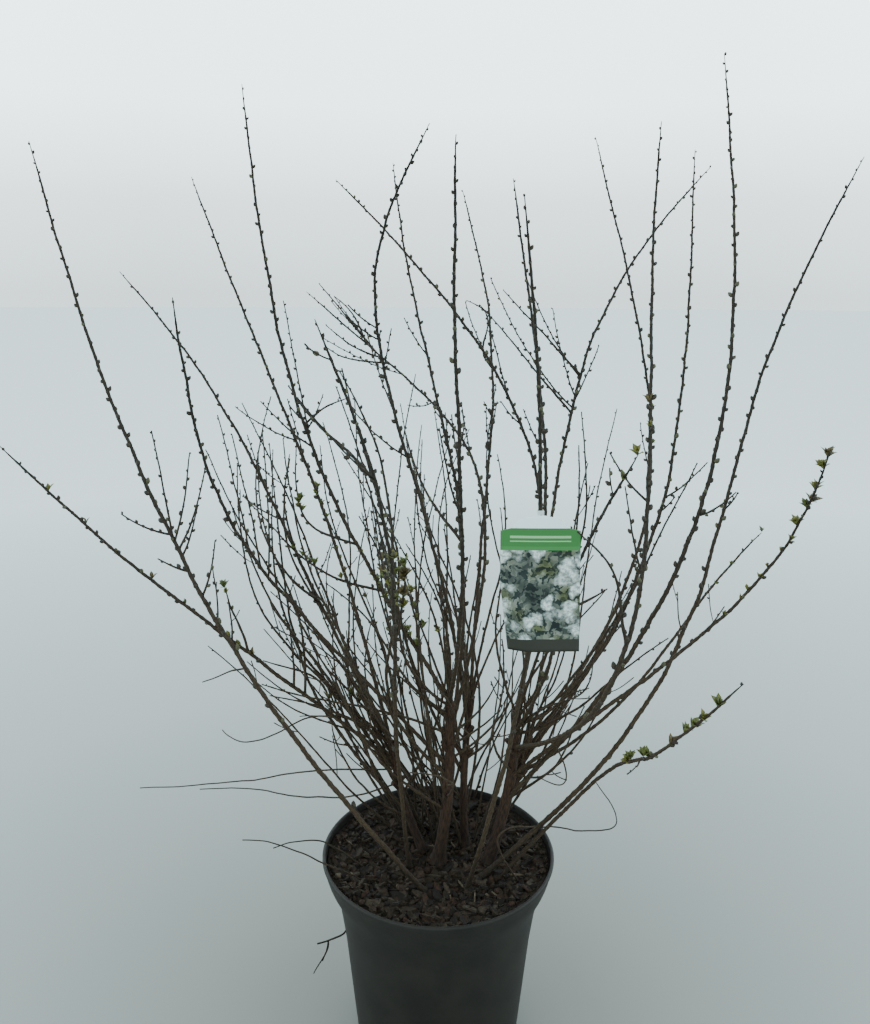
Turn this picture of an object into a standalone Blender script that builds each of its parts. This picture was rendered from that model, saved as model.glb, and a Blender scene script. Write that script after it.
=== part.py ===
"""A potted snowmound spirea in early spring, still bare: a nursery pot filled with bark potting
mix, five old stems that stand on it, and canes that spring from the stems or straight from the
mix, arch up and out, and break into fine shoots with buds. A picture label hangs on one cane.

Metres, +Z up. The origin is the middle of the pot's flat underside. X runs to the right of the
plant's front, which faces -Y. Azimuths are turned about Z, from +X towards +Y."""

import math
import random
from collections import namedtuple

import bmesh
import bpy
from mathutils import Vector, kdtree

# Sizes of the pot and of what fills it
POT_HEIGHT = 0.227
RIM_RADIUS = 0.140
LIP_HEIGHT = 0.006
LIP_ROUND = 0.0018
BAND_HEIGHT = 0.024  # the wall steps out this far below the top
BAND_TOP_RADIUS = 0.1378
BAND_BASE_RADIUS = 0.1362
SHOULDER_RISE = 0.0035
WALL_TOP_RADIUS = 0.1235
WALL_BASE_RADIUS = 0.096
WALL = 0.0024
FLOOR = 0.003
FOOT_CHAMFER = 0.003
POT_SEGMENTS = 36
DRAIN_HOLES = 6
DRAIN_RADIUS = 0.006
DRAIN_CIRCLE = 0.070
GROUND = 0.212  # height of the flat middle of the potting mix
GROUND_FLAT_RADIUS = 0.078
GROUND_FALL = 0.0035
GROUND_ROUGHNESS = 0.0012

# What all limbs share
GAP = 0.0003  # between pieces that touch
CLEARANCE = 0.0015  # between limbs that pass each other
SPOT_SPACING = 0.004  # how finely a limb's run is looked at for what it would touch
WIDEST = 0.012  # more than any limb's radius
CROWN_REACH = 0.505  # no shoot goes further out from the pot's axis
CROWN_TOP = 1.175
GOLDEN_ANGLE = math.radians(137.5)

# The old stems, by shares of the way from foot to tip
STEM_SIDES = 8
STEM_SHARES = (0.0, 0.03, 0.08, 0.18, 0.34, 0.52, 0.70, 0.86, 0.96, 1.0)
FLARE = 0.75  # how much thicker a stem is at the very ground
FLARE_HEIGHT = 0.009
KNUCKLE = 0.22  # how much thicker it is where canes have been cut back for years
KNUCKLE_AT = 0.97
KNUCKLE_SPREAD = 0.07

# The canes: a bough up to SPLIT, and the leader of its shoots from there on
SPLIT = 0.42
BOUGH_SIDES = 7
BOUGH_SHARES = (0.0, 0.01, 0.025, 0.06, 0.11, 0.17, 0.23, 0.295, 0.36, SPLIT)
LEADER_SIDES = 5
LEADER_SHARES = (SPLIT, 0.49, 0.56, 0.63, 0.70, 0.77, 0.84, 0.90, 0.955, 1.0)
TIP_RADIUS = 0.0009
TAPER = 0.8
GROUND_COLLAR = 0.6  # how much thicker a cane is where it leaves the ground
STEM_COLLAR = 0.25  # and where it leaves a stem
COLLAR_LENGTH = 0.011
FOOT_SPREAD = 0.018  # how far round a foot its neighbours are looked for

# Fine shoots and buds
SHOOT_SIDES = 3
SHOOT_RINGS = 4
SHOOT_LEANS = (math.radians(15), math.radians(55))  # the least and the most that chance gives
SHOOT_LENGTHS = (0.10, 1.10)  # and of the longest that a shoot can be there
SHOOT_LONGEST = 0.60  # as a share of the leader's length, for a shoot at its foot
SHOOT_SHORTENING = 0.60
SHOOT_SHRINKS = (1.0, 0.7, 0.45)  # tried in turn until the shoot fits
SHOOT_RADIUS_SHARE = 0.55
SHOOT_TIP_RADIUS = 0.0007
SHOOT_RUN = 0.8
SHOOT_FOLLOW = 0.18  # how much it bends back to its leader's direction
SHOOT_RISE = 0.11  # how much it bends up
BUD_LENGTH = 0.0085
BUD_RADIUS = 0.0018
BUD_WIDEST_AT = 0.45
BUD_LEAN = math.radians(32)
BUD_SIDES = 4
BUD_SEAT = 0.4  # share of its twig's radius at which its root lies
BUD_SPACING = 0.090

# The picture label and the loop it hangs by
LABEL_CANE = "front_right_high"
LABEL_AT = 0.350  # share of the leader's steps
CARD_WIDTH = 0.074
CARD_HEIGHT = 0.116
CARD_THICKNESS = 0.0009
CARD_BOW = 0.004
CARD_COLUMNS = 6
CARD_ROWS = 6
SHOULDER_STEP = 0.0004
TAB_HEIGHT = 0.012
TAB_WIDTH = 0.050
TAB_OUTLINE = ((0.0, 0.12), (0.15, 0.30), (0.42, 0.62), (0.75, 0.86), (1.0, 1.0))  # drop, width
LOOP_HEIGHT = 0.005
LOOP_THICKNESS = 0.0012
LOOP_SIDES = 12
TONGUE_WIDTH = 0.007
TONGUE_LENGTH = 0.015
TONGUE_RISE = 0.3  # share of the loop's height by which it starts above the loop's middle
LABEL_ROWS = 30
LABEL_ROOM = 0.003  # kept free of twigs all round the card

Stem = namedtuple("Stem", "name foot tip girth_foot girth_tip bow")
STEMS = [
    Stem("stem_left", (0.000, -0.005), (0.013, -0.010, 0.413), 0.0145, 0.0105, 0.03),
    Stem("stem_right", (0.060, -0.005), (0.094, 0.005, 0.397), 0.0145, 0.0105, 0.05),
    Stem("stem_middle", (0.033, 0.030), (0.040, 0.035, 0.398), 0.0105, 0.0080, -0.03),
    Stem("stem_back_left", (-0.018, 0.016), (-0.058, 0.030, 0.343), 0.0105, 0.0080, 0.05),
    Stem("stem_back_right", (0.062, 0.042), (0.119, 0.080, 0.328), 0.0105, 0.0080, 0.06),
]

# A cane springs from a stem, at a share of its height, or from the ground at (x, y). tip is the
# azimuth in degrees, the reach from the pot's axis and the height of its end. bends says how far
# it bellies down and out from the straight line to its tip and how far to the left of it, and
# then the same for the S it also makes, which goes that way first and back in its upper half,
# all as shares of that line's length. girth is its foot's diameter. Each of its side shoots has
# the share of the cane at which it leaves and a lot, which seeds its turn, lean and length.
Cane = namedtuple("Cane", "name source tip bends girth shoots")
CANES = [
    Cane("left_long", (-0.016, -0.059), (185, 0.462, 1.067), (0.040, 0.072, -0.010, 0.027),
         0.0070, ((0.45, 3623), (0.48, 4833), (0.497, 7166), (0.505, 8362), (0.515, 6199),
                  (0.52, 1212), (0.525, 9095))),
    Cane("left_low", ("stem_back_left", 0.80), (192, 0.484, 0.736), (0.018, -0.013, -0.003, -0.011),
         0.0064, ((0.43, 1863), (0.47, 5944))),
    Cane("left_outer", ("stem_back_left", 1.00), (156, 0.487, 0.928), (-0.029, -0.015, 0.023, -0.013),
         0.0062, ((0.43, 2578), (0.47, 4414))),
    Cane("front_left", ("stem_left", 0.60), (230, 0.363, 0.895), (0.011, -0.205, -0.014, -0.022),
         0.0060, ((0.43, 3135), (0.46, 2449), (0.5, 4668))),
    Cane("back_left_high", ("stem_back_left", 0.90), (140, 0.490, 1.074), (0.027, -0.047, 0.011, -0.017),
         0.0066, ((0.43, 6447), (0.45, 4414), (0.5, 6887))),
    Cane("left_high", ("stem_left", 1.00), (180, 0.231, 1.140), (0.107, -0.136, 0.012, -0.038),
         0.0068, ((0.44, 4830), (0.46, 4640), (0.43, 7788), (0.48, 6355))),
    Cane("back_left_fan", ("stem_left", 0.80), (117, 0.482, 0.902), (-0.112, -0.167, -0.045, 0.005),
         0.0060, ((0.79, 2117), (0.8, 7614), (0.72, 1566), (0.45, 9475), (0.5, 3374),
                  (0.62, 6887))),
    Cane("front_left_fan", (-0.034, -0.015), (256, 0.398, 0.880), (-0.052, 0.018, -0.012, -0.017),
         0.0064, ((0.735, 5984), (0.78, 9574), (0.95, 2742), (0.45, 4414), (0.52, 4414),
                  (0.6, 2334))),
    Cane("crossing", ("stem_right", 0.95), (120, 0.303, 1.064), (-0.102, -0.133, 0.027, -0.060),
         0.0062, ((0.45, 2727), (0.5, 4136))),
    Cane("front_high", ("stem_middle", 0.80), (267, 0.241, 1.051), (-0.162, -0.116, 0.057, 0.046),
         0.0060, ((0.645, 261), (0.625, 261), (0.62, 7469), (0.58, 4659), (0.44, 7788),
                  (0.5, 4414))),
    Cane("back_high", ("stem_left", 0.70), (101, 0.391, 1.106), (0.023, -0.047, 0.026, -0.025),
         0.0062, ((0.61, 8045), (0.45, 2981), (0.5, 7510))),
    Cane("front_middle", ("stem_left", 1.00), (272, 0.289, 1.033), (0.031, 0.011, 0.036, 0.006),
         0.0066, ((0.44, 6748), (0.48, 6748), (0.52, 1548))),
    Cane("back_middle", ("stem_middle", 0.90), (85, 0.422, 1.068), (-0.001, -0.048, -0.010, 0.011),
         0.0062, ((0.6, 7123), (0.43, 2588), (0.46, 2981), (0.5, 6355))),
    Cane("middle_high", ("stem_right", 1.00), (30, 0.101, 1.040), (0.019, -0.063, -0.022, -0.002),
         0.0066, ((0.44, 1361), (0.48, 4275))),
    Cane("front_right_high", (0.034, -0.052), (281, 0.336, 0.978), (0.011, 0.050, -0.003, 0.000),
         0.0070, ((0.44, 1548),)),
    Cane("back_right_high", ("stem_back_right", 0.80), (51, 0.361, 1.130), (0.114, -0.115, 0.036, -0.008),
         0.0064, ((0.45, 1548),)),
    Cane("right_inner", ("stem_right", 0.75), (338, 0.249, 1.082), (0.173, -0.164, 0.055, -0.069),
         0.0066, ((0.52, 5086), (0.44, 6494))),
    Cane("right_back", ("stem_back_right", 0.70), (28, 0.392, 1.097), (0.056, -0.080, 0.015, 0.000),
         0.0064, ((0.43, 1251), (0.45, 1594))),
    Cane("right_highest", ("stem_right", 0.40), (0, 0.325, 1.175), (0.095, -0.114, 0.008, 0.005),
         0.0074, ((0.45, 1335),)),
    Cane("right_long", (0.050, -0.034), (359, 0.486, 1.059), (0.100, 0.081, 0.022, -0.031),
         0.0074, ((0.54, 7469),)),
    Cane("right_low", ("stem_right", 0.55), (340, 0.423, 0.740), (0.078, 0.101, -0.028, -0.099),
         0.0062, ((0.52, 3671),)),
    Cane("right_lowest", (0.072, -0.034), (309, 0.405, 0.572), (-0.043, 0.107, -0.034, 0.081),
         0.0058, ((0.6, 4807),)),
    Cane("back_right_arch", ("stem_right", 1.00), (37, 0.507, 1.091), (-0.033, 0.080, 0.015, -0.010),
         0.0064, ((0.48, 5292), (0.49, 3931), (0.5, 1855), (0.535, 8582))),
    Cane("front_right", ("stem_right", 0.85), (300, 0.336, 0.763), (0.023, -0.025, -0.001, 0.019),
         0.0058, ((0.6, 8967), (0.9, 4343))),
    Cane("back_right_low", ("stem_back_right", 0.60), (24, 0.502, 0.563), (0.000, -0.069, 0.023, -0.005),
         0.0058, ((0.6, 6887),)),
]

# Colours as linear RGB, with roughness
POT_BLACK = (0.022, 0.025, 0.024), 0.42
MIX_BROWN = (0.040, 0.027, 0.020), 0.95
OLD_BARK = (0.085, 0.042, 0.028), 0.85
CANE_BARK = (0.070, 0.043, 0.032), 0.75
SHOOT_BARK = (0.050, 0.042, 0.030), 0.70
CARD_GREEN = (0.075, 0.300, 0.085), 0.35
LOOP_WHITE = (0.700, 0.740, 0.730), 0.40

# before and after are the points of the run that this path is a part of, just beyond its ends
Path = namedtuple("Path", "points radii before after", defaults=(None, None))


def clear_scene():
    for thing in list(bpy.data.objects):
        bpy.data.objects.remove(thing, do_unlink=True)


def material(name, finish):
    colour, roughness = finish
    made = bpy.data.materials.new(name)
    made.use_nodes = True
    shader = made.node_tree.nodes["Principled BSDF"]
    shader.inputs["Base Color"].default_value = (*colour, 1.0)
    shader.inputs["Roughness"].default_value = roughness
    shader.inputs["Metallic"].default_value = 0.0
    return made


def object_of(name, work, finish=None):
    """A new object that holds the bmesh, with its faces turned out."""
    bmesh.ops.recalc_face_normals(work, faces=work.faces)
    if work.calc_volume(signed=True) < 0:
        bmesh.ops.reverse_faces(work, faces=work.faces)
    mesh = bpy.data.meshes.new(name)
    work.to_mesh(mesh)
    work.free()
    if finish:
        mesh.materials.append(finish)
    made = bpy.data.objects.new(name, mesh)
    bpy.context.scene.collection.objects.link(made)
    return made


def apply_boolean(target, others, operation, solver):
    """Joins the others to the target, or cuts them from it, and removes them."""
    tools = bpy.data.collections.new("tools")
    bpy.context.scene.collection.children.link(tools)
    for other in others:
        for home in list(other.users_collection):
            home.objects.unlink(other)
        tools.objects.link(other)
        other.hide_render = True
        other.display_type = "WIRE"
    step = target.modifiers.new("Boolean", "BOOLEAN")
    step.operation = operation
    step.solver = solver
    step.operand_type = "COLLECTION"
    step.collection = tools
    graph = bpy.context.evaluated_depsgraph_get()
    result = bpy.data.meshes.new_from_object(target.evaluated_get(graph))
    target.modifiers.remove(step)
    old = target.data
    target.data = result
    result.name = target.name
    bpy.data.meshes.remove(old)
    for other in others:
        bpy.data.objects.remove(other, do_unlink=True)
    bpy.data.collections.remove(tools)


def keep_largest_piece(target):
    """Drops the loose scraps that a cut leaves beside the limb."""
    work = bmesh.new()
    work.from_mesh(target.data)
    pieces = []
    unseen = set(work.verts)
    while unseen:
        piece = {unseen.pop()}
        edge_of_piece = list(piece)
        while edge_of_piece:
            vert = edge_of_piece.pop()
            fresh = {edge.other_vert(vert) for edge in vert.link_edges} - piece
            piece |= fresh
            edge_of_piece.extend(fresh)
        unseen -= piece
        pieces.append(piece)
    largest = max(pieces, key=len)
    scraps = [vert for piece in pieces if piece is not largest for vert in piece]
    bmesh.ops.delete(work, geom=scraps, context="VERTS")
    work.to_mesh(target.data)
    work.free()


def turned(name, profile, finish):
    """A solid of revolution about Z from (radius, height) points, first and last on the axis."""
    work = bmesh.new()
    verts = [work.verts.new((radius, 0.0, height)) for radius, height in profile]
    edges = [work.edges.new(pair) for pair in zip(verts, verts[1:])]
    bmesh.ops.spin(
        work, geom=verts + edges, axis=(0, 0, 1), cent=(0, 0, 0),
        angle=math.tau, steps=POT_SEGMENTS, use_merge=True,
    )
    bmesh.ops.remove_doubles(work, verts=work.verts, dist=1e-6)
    return object_of(name, work, finish)


def make_pot():
    shoulder = POT_HEIGHT - BAND_HEIGHT
    band = shoulder + SHOULDER_RISE
    under_lip = POT_HEIGHT - LIP_HEIGHT
    profile = [
        (0.0, 0.0),
        (WALL_BASE_RADIUS - FOOT_CHAMFER, 0.0),
        (WALL_BASE_RADIUS, FOOT_CHAMFER),
        (WALL_TOP_RADIUS, shoulder),
        (BAND_BASE_RADIUS, band),
        (BAND_TOP_RADIUS, under_lip),
        (RIM_RADIUS, under_lip + LIP_ROUND),
        (RIM_RADIUS, POT_HEIGHT - LIP_ROUND),
        (RIM_RADIUS - LIP_ROUND, POT_HEIGHT),
        (BAND_TOP_RADIUS - WALL + LIP_ROUND, POT_HEIGHT),
        (BAND_TOP_RADIUS - WALL, POT_HEIGHT - LIP_ROUND),
        (BAND_BASE_RADIUS - WALL, band + WALL),
        (WALL_TOP_RADIUS - WALL, shoulder + WALL),
        (WALL_BASE_RADIUS - WALL, FLOOR),
        (0.0, FLOOR),
    ]
    pot = turned("pot", profile, material("pot_plastic", POT_BLACK))
    holes = []
    for number in range(DRAIN_HOLES):
        angle = math.tau * number / DRAIN_HOLES
        bpy.ops.mesh.primitive_cylinder_add(
            vertices=12, radius=DRAIN_RADIUS, depth=FLOOR * 4,
            location=(DRAIN_CIRCLE * math.cos(angle), DRAIN_CIRCLE * math.sin(angle), 0.0),
        )
        holes.append(bpy.context.object)
    apply_boolean(pot, holes, "DIFFERENCE", "EXACT")
    pot.data.shade_smooth()
    pot.data.set_sharp_from_angle(angle=math.radians(35))


def make_potting_mix():
    """The fill: flat where the stems stand, falling and uneven towards the wall."""
    dice = random.Random(11)
    shoulder = POT_HEIGHT - BAND_HEIGHT + WALL
    edge = BAND_BASE_RADIUS - WALL - GAP
    work = bmesh.new()
    rings = []
    for radius, height, rough in (
        (WALL_BASE_RADIUS - WALL - GAP, FLOOR + GAP, 0.0),
        (WALL_TOP_RADIUS - WALL - GAP, shoulder + GAP, 0.0),
        (edge, shoulder + SHOULDER_RISE + GAP, 0.0),
        (edge, GROUND - GROUND_FALL, GROUND_ROUGHNESS),
        (edge * 0.92, GROUND - GROUND_FALL * 0.6, GROUND_ROUGHNESS),
        (edge * 0.82, GROUND - GROUND_FALL * 0.3, GROUND_ROUGHNESS),
        (edge * 0.72, GROUND - GROUND_FALL * 0.1, GROUND_ROUGHNESS * 0.6),
        (GROUND_FLAT_RADIUS, GROUND, 0.0),
    ):
        ring = []
        for number in range(POT_SEGMENTS):
            angle = math.tau * number / POT_SEGMENTS
            level = height - rough * dice.random()
            ring.append(work.verts.new((radius * math.cos(angle), radius * math.sin(angle), level)))
        rings.append(ring)
    for lower, upper in zip(rings, rings[1:]):
        bridge(work, lower, upper)
    work.faces.new(rings[0])
    work.faces.new(rings[-1])
    object_of("potting_mix", work, material("bark_mix", MIX_BROWN))


def bridge(work, lower, upper):
    """Faces between two closed rings of as many points."""
    for number in range(len(lower)):
        beside = (number + 1) % len(lower)
        work.faces.new((lower[number], lower[beside], upper[beside], upper[number]))


def ring_round(work, middle, along, radius, sides):
    """A ring of points round a middle, square to a direction."""
    side = along.orthogonal().normalized()
    ring = []
    for number in range(sides):
        angle = math.tau * number / sides
        reach = side * math.cos(angle) + along.cross(side) * math.sin(angle)
        ring.append(work.verts.new(middle + reach * radius))
    return ring


def frames_along(path):
    """For each point the tangent and two directions square to it that turn as little as they can."""
    run = [path.before or path.points[0], *path.points, path.after or path.points[-1]]
    tangents = [(after - before).normalized() for before, after in zip(run, run[2:])]
    across = tangents[0].orthogonal().normalized()
    frames = []
    for tangent in tangents:
        across = (across - tangent * across.dot(tangent)).normalized()
        frames.append((tangent, across, tangent.cross(across)))
    return frames


def limb(name, path, sides, finish=None, flat_foot=None, grow=0.0):
    """A closed tapering tube along the path. flat_foot is the height of a level cut at its foot,
    and grow makes the tube thicker all round, for cutting room out of a neighbour."""
    work = bmesh.new()
    rings = []
    for number, (point, radius, frame) in enumerate(
        zip(path.points, path.radii, frames_along(path))
    ):
        tangent, across, up = frame
        ring = []
        for side in range(sides):
            angle = math.tau * side / sides
            place = point + (across * math.cos(angle) + up * math.sin(angle)) * (radius + grow)
            if number == 0 and flat_foot is not None:
                place = place - tangent * ((place.z - flat_foot) / tangent.z)
            ring.append(work.verts.new(place))
        rings.append(ring)
    for lower, upper in zip(rings, rings[1:]):
        bridge(work, lower, upper)
    work.faces.new(list(reversed(rings[0])))
    work.faces.new(rings[-1])
    return object_of(name, work, finish)


def arched(foot, tip, bends, shares):
    """Points from foot to tip at the given shares of the way. The run bellies down and out and to
    its left by the first two bends, and in an S by the last two."""
    line = tip - foot
    outward = Vector((line.x, line.y, 0.0)).normalized()
    left = Vector((-outward.y, outward.x, 0.0))
    down = left.cross(line.normalized())
    if down.z > 0:
        down = -down
    belly = (down * bends[0] + left * bends[1]) * line.length
    snake = (down * bends[2] + left * bends[3]) * line.length
    return [
        foot + line * share + belly * math.sin(math.pi * share) + snake * math.sin(math.tau * share)
        for share in shares
    ]


def stem_path(stem):
    """The stem's centre line and radii, with the flare at its foot and a knuckle at its top."""
    foot = Vector((*stem.foot, GROUND + GAP))
    tip = Vector(stem.tip)
    points = arched(foot, tip, (stem.bow, 0.0, 0.0, 0.0), STEM_SHARES)
    radii = []
    for share in STEM_SHARES:
        height = share * (tip - foot).length
        plain = (stem.girth_foot + (stem.girth_tip - stem.girth_foot) * share) / 2
        flare = 1.0 + FLARE * math.exp(-height / FLARE_HEIGHT)
        knuckle = 1.0 + KNUCKLE * math.exp(-(((share - KNUCKLE_AT) / KNUCKLE_SPREAD) ** 2))
        radii.append(plain * flare * knuckle)
    return Path(points, radii)


def place_on(path, share):
    """The point, the direction and the radius at a share of a path's number of steps."""
    place = share * (len(path.points) - 1)
    step = min(int(place), len(path.points) - 2)
    first, last = path.points[step], path.points[step + 1]
    return first.lerp(last, place - step), (last - first).normalized(), path.radii[step]


def length_of(path):
    return sum((last - first).length for first, last in zip(path.points, path.points[1:]))


def leaning(along, turn, lean):
    """The direction square to a limb at a turn round it, and one that leans that way."""
    across = along.orthogonal().normalized()
    out = across * math.cos(turn) + along.cross(across) * math.sin(turn)
    return out, along * math.cos(lean) + out * math.sin(lean)


def from_ground(cane):
    return not isinstance(cane.source[0], str)


def cane_foot(cane, stems):
    """Where the cane springs: on the ground, or in the middle of its stem."""
    if from_ground(cane):
        return Vector((*cane.source, GROUND + GAP))
    points = stems[cane.source[0]].points
    level = points[0].z + (points[-1].z - points[0].z) * cane.source[1]
    for lower, upper in zip(points, points[1:]):
        if level <= upper.z:
            return lower.lerp(upper, (level - lower.z) / (upper.z - lower.z))
    return points[-1].copy()


def cane_path(cane, stems, shares):
    """The cane's centre line at the given shares, and its radii there."""
    foot = cane_foot(cane, stems)
    azimuth, reach, height = cane.tip
    turn = math.radians(azimuth)
    tip = Vector((reach * math.cos(turn), reach * math.sin(turn), height))
    points = arched(foot, tip, cane.bends, shares)
    swell = GROUND_COLLAR if from_ground(cane) else STEM_COLLAR
    radii = []
    for share in shares:
        plain = TIP_RADIUS + (cane.girth / 2 - TIP_RADIUS) * (1.0 - share) ** TAPER
        rise = share * (tip - foot).length
        radii.append(plain * (1.0 + swell * math.exp(-rise / COLLAR_LENGTH)))
    return Path(points, radii)


def spots_of(path):
    """Points close together along the path, each with the radius there."""
    for first, last, start, end in zip(path.points, path.points[1:], path.radii, path.radii[1:]):
        count = max(1, math.ceil((last - first).length / SPOT_SPACING))
        for number in range(count + 1):
            share = number / count
            yield first.lerp(last, share), start + (end - start) * share


class Crowd:
    """Every limb so far, as points along it with their radii, to see what a new one would touch."""

    def __init__(self):
        self.spots = []
        self.tree = None

    def add(self, path, owner):
        self.spots += [(point, radius, owner) for point, radius in spots_of(path)]
        self.tree = None

    def settle(self):
        self.tree = kdtree.KDTree(len(self.spots))
        for number, (point, _, _) in enumerate(self.spots):
            self.tree.insert(point, number)
        self.tree.balance()

    def touched(self, point, radius, apart_from):
        """The owners that come within the clearance of a ball here."""
        if self.tree is None:
            self.settle()
        found = set()
        for _, number, distance in self.tree.find_range(point, radius + WIDEST + CLEARANCE):
            _, other, owner = self.spots[number]
            if owner not in apart_from and distance < radius + other + CLEARANCE:
                found.add(owner)
        return found


def fits(path, crowd, own):
    """Whether a twig stays inside the crown and clear of every limb that isn't its own."""
    for point, radius in spots_of(path):
        if math.hypot(point.x, point.y) > CROWN_REACH or point.z > CROWN_TOP:
            return False
        if crowd.touched(point, radius, own):
            return False
    return True


def bud(parent, share, turn):
    """A small spindle that leans off its twig, with its root sunk in it, and its middle."""
    root, along, radius = place_on(parent, share)
    out, lean = leaning(along, turn, BUD_LEAN)
    root = root + out * (radius * BUD_SEAT)
    work = bmesh.new()
    foot = work.verts.new(root)
    tip = work.verts.new(root + lean * BUD_LENGTH)
    belt = ring_round(work, root + lean * (BUD_LENGTH * BUD_WIDEST_AT), lean, BUD_RADIUS, BUD_SIDES)
    for number in range(BUD_SIDES):
        beside = (number + 1) % BUD_SIDES
        work.faces.new((belt[number], belt[beside], tip))
        work.faces.new((belt[beside], belt[number], foot))
    return object_of("bud", work), root + lean * (BUD_LENGTH / 2)


def shoot_path(parent, share, turn, lean, length):
    """A side shoot: it leaves its parent at a lean, then bends along it and up."""
    root, along, radius = place_on(parent, share)
    _, lean = leaning(along, turn, lean)
    bend = along * SHOOT_FOLLOW + Vector((0.0, 0.0, SHOOT_RISE))
    thick = radius * SHOOT_RADIUS_SHARE
    points = []
    radii = []
    for number in range(SHOOT_RINGS + 1):
        done = number / SHOOT_RINGS
        points.append(root + lean * (length * done * SHOOT_RUN) + bend * (length * done * done))
        radii.append(SHOOT_TIP_RADIUS + (thick - SHOOT_TIP_RADIUS) * (1.0 - done))
    return Path(points, radii)


def leader_step(share):
    """A share of the whole cane as a share of its leader's number of steps."""
    for number, (low, high) in enumerate(zip(LEADER_SHARES, LEADER_SHARES[1:])):
        if share <= high:
            return (number + (share - low) / (high - low)) / (len(LEADER_SHARES) - 1)
    return 1.0


def side_shoots(cane, leader, crowd, own):
    """The leader's long side shoots, each by its own lot. One that doesn't fit is turned on and
    made shorter, and left out if it still doesn't."""
    for share, lot in cane.shoots:
        dice = random.Random(lot)
        turn = dice.uniform(0.0, math.tau)
        lean = dice.uniform(*SHOOT_LEANS)
        up = (share - SPLIT) / (1.0 - SPLIT)
        longest = length_of(leader) * (SHOOT_LONGEST - SHOOT_SHORTENING * up)
        length = longest * dice.uniform(*SHOOT_LENGTHS)
        for shrink in SHOOT_SHRINKS:
            shoot = shoot_path(leader, leader_step(share), turn, lean, length * shrink)
            if fits(shoot, crowd, own):
                yield shoot
                break
            turn += GOLDEN_ANGLE


def buds_on(twig, crowd, own, turn):
    """Buds spread evenly on a twig, each turned on from the last, left out where one would touch."""
    count = int(length_of(twig) / BUD_SPACING)
    for number in range(count):
        turn += GOLDEN_ANGLE
        shape, middle = bud(twig, (number + 0.7) / (count + 0.4), turn)
        if crowd.touched(middle, BUD_LENGTH / 2, own):
            bpy.data.objects.remove(shape, do_unlink=True)
        else:
            yield shape


def mass_of(cane, leader, crowd, finish):
    """The cane's upper part: its leader, side shoots by a seeded rule, and buds, fused in one."""
    dice = random.Random(cane.name)
    name = "shoots_" + cane.name
    own = {name, "bough_" + cane.name}
    shoots = list(side_shoots(cane, leader, crowd, own))
    for shoot in shoots:
        crowd.add(shoot, name)
    fused = [limb("twig", shoot, SHOOT_SIDES) for shoot in shoots]
    for twig in [leader] + shoots:
        fused += buds_on(twig, crowd, own, dice.uniform(0.0, math.tau))
    mass = limb(name, leader, LEADER_SIDES, finish)
    apply_boolean(mass, fused, "UNION", "MANIFOLD")


def make_label(leader, share):
    """A printed card that hangs in front of a leader by a small loop with a tongue. It returns
    the paths that keep twigs off the card."""
    middle, axis, radius = place_on(leader, share)
    inner = radius + GAP
    outer = inner + LOOP_THICKNESS
    work = bmesh.new()
    rings = []
    for reach, level in ((inner, -0.5), (outer, -0.5), (outer, 0.5), (inner, 0.5)):
        rings.append(ring_round(work, middle + axis * (level * LOOP_HEIGHT), axis, reach, LOOP_SIDES))
    for here, there in zip(rings, rings[1:] + rings[:1]):
        bridge(work, here, there)
    loop = object_of("label_loop", work, material("loop_plastic", LOOP_WHITE))
    front = middle.y - outer
    top = middle.z + LOOP_HEIGHT * TONGUE_RISE
    bpy.ops.mesh.primitive_cube_add(size=1.0)
    tongue = bpy.context.object
    tongue.scale = (TONGUE_WIDTH, LOOP_THICKNESS, TONGUE_LENGTH)
    tongue.location = (middle.x, front, top - TONGUE_LENGTH / 2)
    bpy.context.view_layer.update()
    apply_boolean(loop, [tongue], "UNION", "EXACT")
    hook = Vector((middle.x, front - LOOP_THICKNESS / 2 - GAP, middle.z - LOOP_HEIGHT / 2))
    make_card(hook)
    kept_free = [Path([middle, Vector((middle.x, front, top - TONGUE_LENGTH))], [outer, outer])]
    for number in range(LABEL_ROWS + 1):
        level = hook.z - (TAB_HEIGHT + CARD_HEIGHT) * number / LABEL_ROWS
        ends = [Vector((hook.x + half, hook.y, level)) for half in (-CARD_WIDTH / 2, CARD_WIDTH / 2)]
        kept_free.append(Path(ends, [LABEL_ROOM, LABEL_ROOM]))
    return kept_free


def make_card(hook):
    """The card hangs from the hook, the middle of its tab's top edge, and bows back at its sides."""
    levels = [(hook.z - drop * TAB_HEIGHT, width * TAB_WIDTH / 2) for drop, width in TAB_OUTLINE]
    for number in range(CARD_ROWS + 1):
        drop = CARD_HEIGHT * number / CARD_ROWS + (SHOULDER_STEP if number == 0 else 0.0)
        levels.append((hook.z - TAB_HEIGHT - drop, CARD_WIDTH / 2))
    work = bmesh.new()
    sheets = []
    for depth in (-CARD_THICKNESS, 0.0):
        sheet = []
        for level, half in levels:
            row = []
            for number in range(CARD_COLUMNS + 1):
                across = half * (2.0 * number / CARD_COLUMNS - 1.0)
                bow = CARD_BOW * (2.0 * across / CARD_WIDTH) ** 2
                row.append(work.verts.new((hook.x + across, hook.y + depth + bow, level)))
            sheet.append(row)
        sheets.append(sheet)
        for upper, under in zip(sheet, sheet[1:]):
            for number in range(CARD_COLUMNS):
                work.faces.new((upper[number], upper[number + 1], under[number + 1], under[number]))
    outlines = []
    for sheet in sheets:
        sides = [row[-1] for row in sheet[1:-1]] + sheet[-1][::-1]
        outlines.append(sheet[0] + sides + [row[0] for row in sheet[-2:0:-1]])
    bridge(work, *outlines)
    object_of("label_card", work, material("printed_card", CARD_GREEN))


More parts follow.
